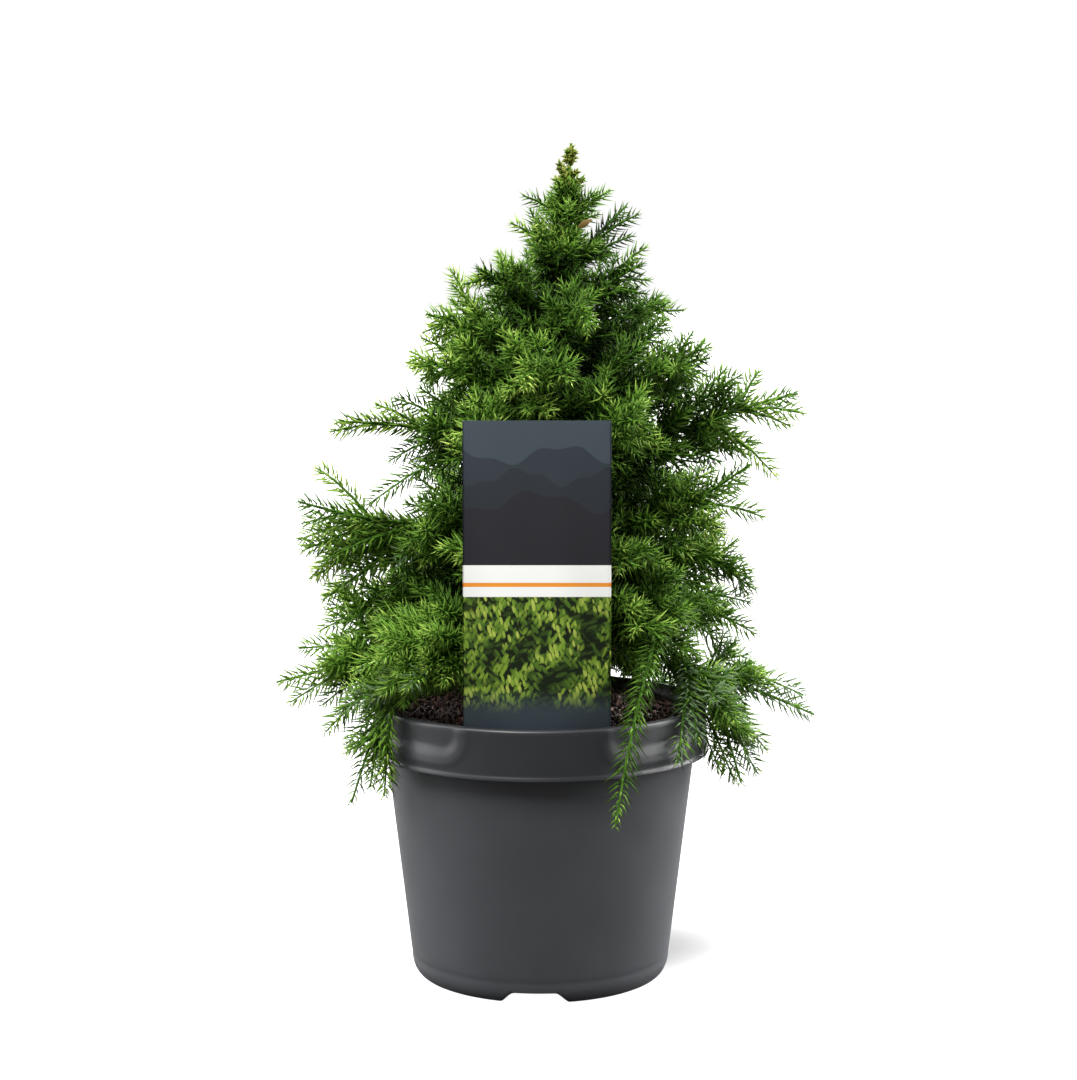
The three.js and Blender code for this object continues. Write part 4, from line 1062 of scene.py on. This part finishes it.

# Cedar needles: waxy, half glossy, dealt out by spray from dark green within the crown to yellow-green at the tips
# of young shoots, with olive on the leader and a greyed spray where the shoot has dried. The dark green within the
# crown is partly older needles and partly painted shade of the crown's interior.
# The darkest green, "old", is partly older needles and partly painted shade deep in the crown.
needle_greens = {"old": "1b2f08", "deep": "3d5b1c", "green": "61862e", "fresh": "8aa846", "tip": "b3cb62"}
needle_greens |= {"olive": "717830", "greyed": "647c54"}
needle_materials = [start_material(f"needles_{age}", green, 0.5, 0.06)[0] for age, green in needle_greens.items()]
FRESH, TIP, OLIVE, GREYED = 3, 4, 5, 6
needle_faces = np.array([[0, 2, 1], [0, 3, 2], [0, 1, 3], [4, 1, 2], [4, 2, 3], [4, 3, 1]])
needle_rng = np.random.default_rng(21)
box_low = np.array(cad_box[0]) / MM - STAND_PROUD
box_high = np.array(cad_box[1]) / MM + STAND_PROUD


def in_box(points):
    """Which points lie within the whole plant's reach."""
    return ((points > box_low) & (points < box_high)).all(axis=1)


def needles_on(stem, shoot):
    """The needles of one shoot: five points each, and how grown and how bud-like each one is."""
    bare = BARE_FEET[shoot["order"]]
    on_leader = stem["tier"] == "leader" and shoot["line"][0][2] > BUDS_FROM - 14
    close_set = LEADER_CLOSE_SET if on_leader else CLOSE_SET.get(stem["name"], CLOSE_SET.get(stem["tier"], 1))
    count = max(8, round(shoot["length"] * (1 - bare) / (NEEDLE_SPACING * close_set)))
    share = bare + (1 - bare) * (np.arange(count) + needle_rng.uniform(0, 1, count)) / count
    there = frames_at(shoot["line"], share)
    root = there[0]
    roll = np.arange(count) * GOLDEN_ANGLE + needle_rng.normal(0, 0.15, count)
    resting = ease((root[:, 2] - BUDS_FROM) / 10) * (stem["tier"] == "leader")
    grown = np.maximum(ease((1 - share) * shoot["length"] / YOUNG_END), 0.75 * resting)
    longest = np.interp(root[:, 2], NEEDLE_HEIGHTS, NEEDLE_LENGTHS)
    longest = longest + (BUD_NEEDLE_LENGTH - longest) * resting
    angle = NEEDLE_ANGLE * (0.72 + 0.28 * grown) * needle_rng.uniform(0.88, 1.12, count)
    length = longest * (0.38 + 0.62 * grown) * needle_rng.uniform(0.82, 1.12, count)
    direction = aslant(there, angle, roll)
    swung = aslant(there, angle + NEEDLE_CURVE, roll)
    for cut in NEEDLE_CUTS:
        fits_in = clear_of_fixtures(root + direction * length[:, None], 0.6)
        fits_in &= clear_of_fixtures(root + swung * (length * THICKEST_AT)[:, None], 0)
        fits_in &= in_box(root + direction * length[:, None])
        length = np.where(fits_in, length, longest * cut)
    tip = root + direction * length[:, None]
    bulge = root + swung * (length * THICKEST_AT)[:, None]
    first = unit(np.cross(direction, there[1] + 0.01))
    second = np.cross(direction, first)
    thick = NEEDLE_RADIUS * (0.75 + 0.25 * grown) * np.minimum(1, length / 8 + 0.15) * (1 + 1.7 * resting)
    ring = [
        bulge + thick[:, None] * (first * math.cos(turn) + second * math.sin(turn))
        for turn in (0, math.pi * 2 / 3, math.pi * 4 / 3)
    ]
    return np.stack([root, *ring, tip], 1), grown, resting


def greens_of(stem, shoot, grown, resting):
    """The kind of green of each needle: by how far out the spray is, how low, and how young its tip."""
    middle = at(shoot["line"], 0.6)
    reach = reach_at(math.degrees(math.atan2(middle[1], middle[0])), middle[2])
    from_trunk = middle - trunk_point(min(middle[2], TRUNK_TOP))
    on_leader = stem["tier"] == "leader"
    # Sprays nearer the trunk get darker greens: partly older needles, partly painted shade of the crown's interior.
    exposed = 0.7 if on_leader else math.hypot(from_trunk[0], from_trunk[1]) / max(reach, 1)
    low = ease((TONE_HEIGHT - middle[2]) / TONE_HEIGHT)
    tone = np.clip(exposed * 3.7 - 0.95 + 0.5 * low + needle_rng.normal(0, 0.45), 0, 3)
    palest = TIP
    if middle[2] < FRESH_HEIGHT:
        tone, palest = min(tone, 2), FRESH
    in_front = stem["name"] == "drape_4"
    if in_front:
        tone = min(tone, FRONT_TONE)
    paler = np.round(tone + 0.9 * (1 - grown) + needle_rng.normal(0, 0.3, len(grown)))
    kinds = np.clip(paler, 0, palest).astype(int)
    kinds[resting > needle_rng.uniform(0.2, 1.2, len(grown))] = OLIVE
    dried = DRIED_SHARE * low * DRIED_SIDES[int(middle[0] > RIGHT_FROM)] * (not in_front)
    if needle_rng.uniform() < dried or shoot.get("dried"):
        kinds[needle_rng.uniform(0, 1, len(grown)) < 0.7] = GREYED
    return kinds


for tier in tier_names:
    all_points, all_kinds = [], []
    for stem in [stem for stem in stems if stem["tier"] == tier]:
        for shoot in stem["shoots"]:
            points, grown, resting = needles_on(stem, shoot)
            kinds = greens_of(stem, shoot, grown, resting)
            kept = clear_of_fixtures(points[:, 4], 0.6) & in_box(points[:, 4])
            kept &= clear_of_fixtures(points[:, 1:4].mean(axis=1), 0)
            all_points.append(points[kept])
            all_kinds.append(kinds[kept])
    points = np.concatenate(all_points)
    kinds = np.repeat(np.concatenate(all_kinds), 6)
    faces = needle_faces[None] + (np.arange(len(points)) * 5)[:, None, None]
    needles = piece_from(f"needles_{tier}", points.reshape(-1, 3), faces.reshape(-1, 3), kinds, needle_materials)
    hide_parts(*[f"foliage_{stem['name']}" for stem in stems if stem["tier"] == tier])
    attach(needles, "root")

# ---- Dried bract ----
# One dried bract from a bud has caught between the needles of the crown: a thin tan scale, dished and pointed,
# 9 mm long.
BRACT_PLACE = (24.5, -17, 424.5)
BRACT_HALF_LENGTH = 4.4
BRACT_LEAN = math.radians(58)

bpy.ops.object.select_all(action="DESELECT")
bpy.ops.mesh.primitive_uv_sphere_add(segments=16, ring_count=12, radius=1)
bract = bpy.context.object
bract.name = bract.data.name = "dried_bract"
x, y, z = (points_of(bract) * MM).T
across = x * 1.7 * (1 - 0.5 * ease(z))
upward = z * BRACT_HALF_LENGTH
place = [
    across * math.cos(BRACT_LEAN) + upward * math.sin(BRACT_LEAN),
    y * 0.35 + 1.2 * z**2,
    upward * math.cos(BRACT_LEAN) - across * math.sin(BRACT_LEAN),
]
move_points(bract, np.stack(place, 1) + BRACT_PLACE)
smooth_under(bract, 60)

# Dried bract: papery, tan and matt, with fibres along it a third of a millimetre apart.
papery, tree, surface = start_material("dried_bract", "725823", 0.7)
where = add_node(tree, "TexCoord", {}).outputs["Object"]
fibres = add_node(tree, "TexNoise", {"Vector": where, "Scale": 1 / 0.0003, "Detail": 2.0})
feed(surface, {"Base Color": add_node(tree, "Mix", {0: fibres, 6: "5f4a1c", 7: "846a2a"}, data_type="RGBA")})
bract.data.materials.append(papery)
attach(bract, "root")

# ---- Studio ----
# A white floor and a white room, with a large soft lamp in front and above and softer ones at the sides. The floor
# glows to the camera, except in a fixed spot beside the foot where the glow fades out so that the lamps' shadow
# shows
# there alone: a painted shadow spot. The camera looks down on the pot a little.
ROOM_FRONT = 0.06
ROOM_BACK = 1.35
ROOM_CEILING = 0.8
SHADOW_PLACE = (60 * MM, 52 * MM, 0)
SHADOW_CORE = 15
SHADOW_REACH = 95
FLOOR_SIDE = 40  # in metres

bpy.ops.object.select_all(action="DESELECT")
bpy.ops.mesh.primitive_plane_add(size=FLOOR_SIDE, location=(0, 0, 0))
floor = bpy.context.object
floor.name = floor.data.name = "studio_floor"
paper, tree, surface = start_material("white_paper", "8a8a8a", 0.9)
seen = add_node(tree, "LightPath", {})
where = add_node(tree, "TexCoord", {}).outputs["Object"]
# Painted shadow: the glow is taken away around a fixed point right of and behind the foot, fully within 15 mm and
# fading back by 95 mm.
from_shadow = add_node(tree, "VectorMath", {0: where, 1: SHADOW_PLACE}, operation="DISTANCE")
fading = {"Value": from_shadow, "From Min": SHADOW_CORE * MM, "From Max": SHADOW_REACH * MM}
unshaded = add_node(tree, "MapRange", fading, interpolation_type="SMOOTHSTEP")
glow = add_node(tree, "Math", {0: seen, 1: unshaded}, operation="MULTIPLY")
tones = add_node(tree, "Mix", {0: seen, 6: "303030", 7: "8a8a8a"}, data_type="RGBA")
feed(surface, {"Base Color": tones, "Emission Color": "ffffff", "Emission Strength": glow})
floor.data.materials.append(paper)

world = bpy.data.worlds.new("white_room")
world.use_nodes = True
tree = world.node_tree
towards = add_node(tree, "SeparateXYZ", {"Vector": add_node(tree, "TexCoord", {}).outputs["Generated"]}).outputs
by_depth = {"Value": towards["Y"], "From Min": -0.4, "From Max": 0.7, "To Min": ROOM_FRONT, "To Max": ROOM_BACK}
by_height = {"Value": towards["Z"], "From Min": 0.3, "From Max": 0.9, "To Max": ROOM_CEILING}
both = {0: add_node(tree, "MapRange", by_depth), 1: add_node(tree, "MapRange", by_height)}
room_light = add_node(tree, "Math", both, operation="ADD")
room = add_node(tree, "Background", {"Color": "ffffff", "Strength": room_light})
backdrop = tree.nodes["Background"]
feed(backdrop, {"Color": "ffffff", "Strength": 1.0})
shown = add_node(tree, "MixShader", {0: add_node(tree, "LightPath", {}), 1: room, 2: backdrop})
feed(tree.nodes["World Output"], {"Surface": shown})
bpy.context.scene.world = world


def add_lamp(name, towards, strength, softness):
    """A far soft lamp: the way its light comes from, its strength, and how wide it is in degrees."""
    lamp = bpy.data.lights.new(name, "SUN")
    lamp.energy = strength
    lamp.angle = math.radians(softness)
    holder = bpy.data.objects.new(name, lamp)
    holder.rotation_euler = Vector(towards).to_track_quat("Z", "Y").to_euler()
    bpy.context.scene.collection.objects.link(holder)


add_lamp("key_softbox", (-0.5, -0.8, 1.3), 4.3, 24)
add_lamp("left_softbox", (-1, 0.1, 0.45), 2.9, 50)
add_lamp("right_softbox", (1, 0.1, 0.45), 4.8, 50)
add_lamp("left_edge_strip", (-1, 1.1, 0.2), 6.0, 40)
add_lamp("right_edge_strip", (1, 1.1, 0.2), 8.0, 40)

CAMERA_PLACE = (-1.1 * MM, -1353 * MM, 400.9 * MM)
CAMERA_TILT = math.radians(90 - 6.46)
IMAGE_HEIGHT = 1080
FOCAL_LENGTH = 2415.2  # in pixels
SENSOR = 36  # wide, in millimetres

camera = bpy.data.cameras.new("camera")
camera.sensor_width = SENSOR
camera.lens = FOCAL_LENGTH / IMAGE_HEIGHT * SENSOR
camera.clip_end = 100
holder = bpy.data.objects.new("camera", camera)
holder.location = CAMERA_PLACE
holder.rotation_euler = (CAMERA_TILT, 0, 0)
bpy.context.scene.collection.objects.link(holder)
bpy.context.scene.camera = holder
bpy.context.scene.view_settings.view_transform = "Standard"
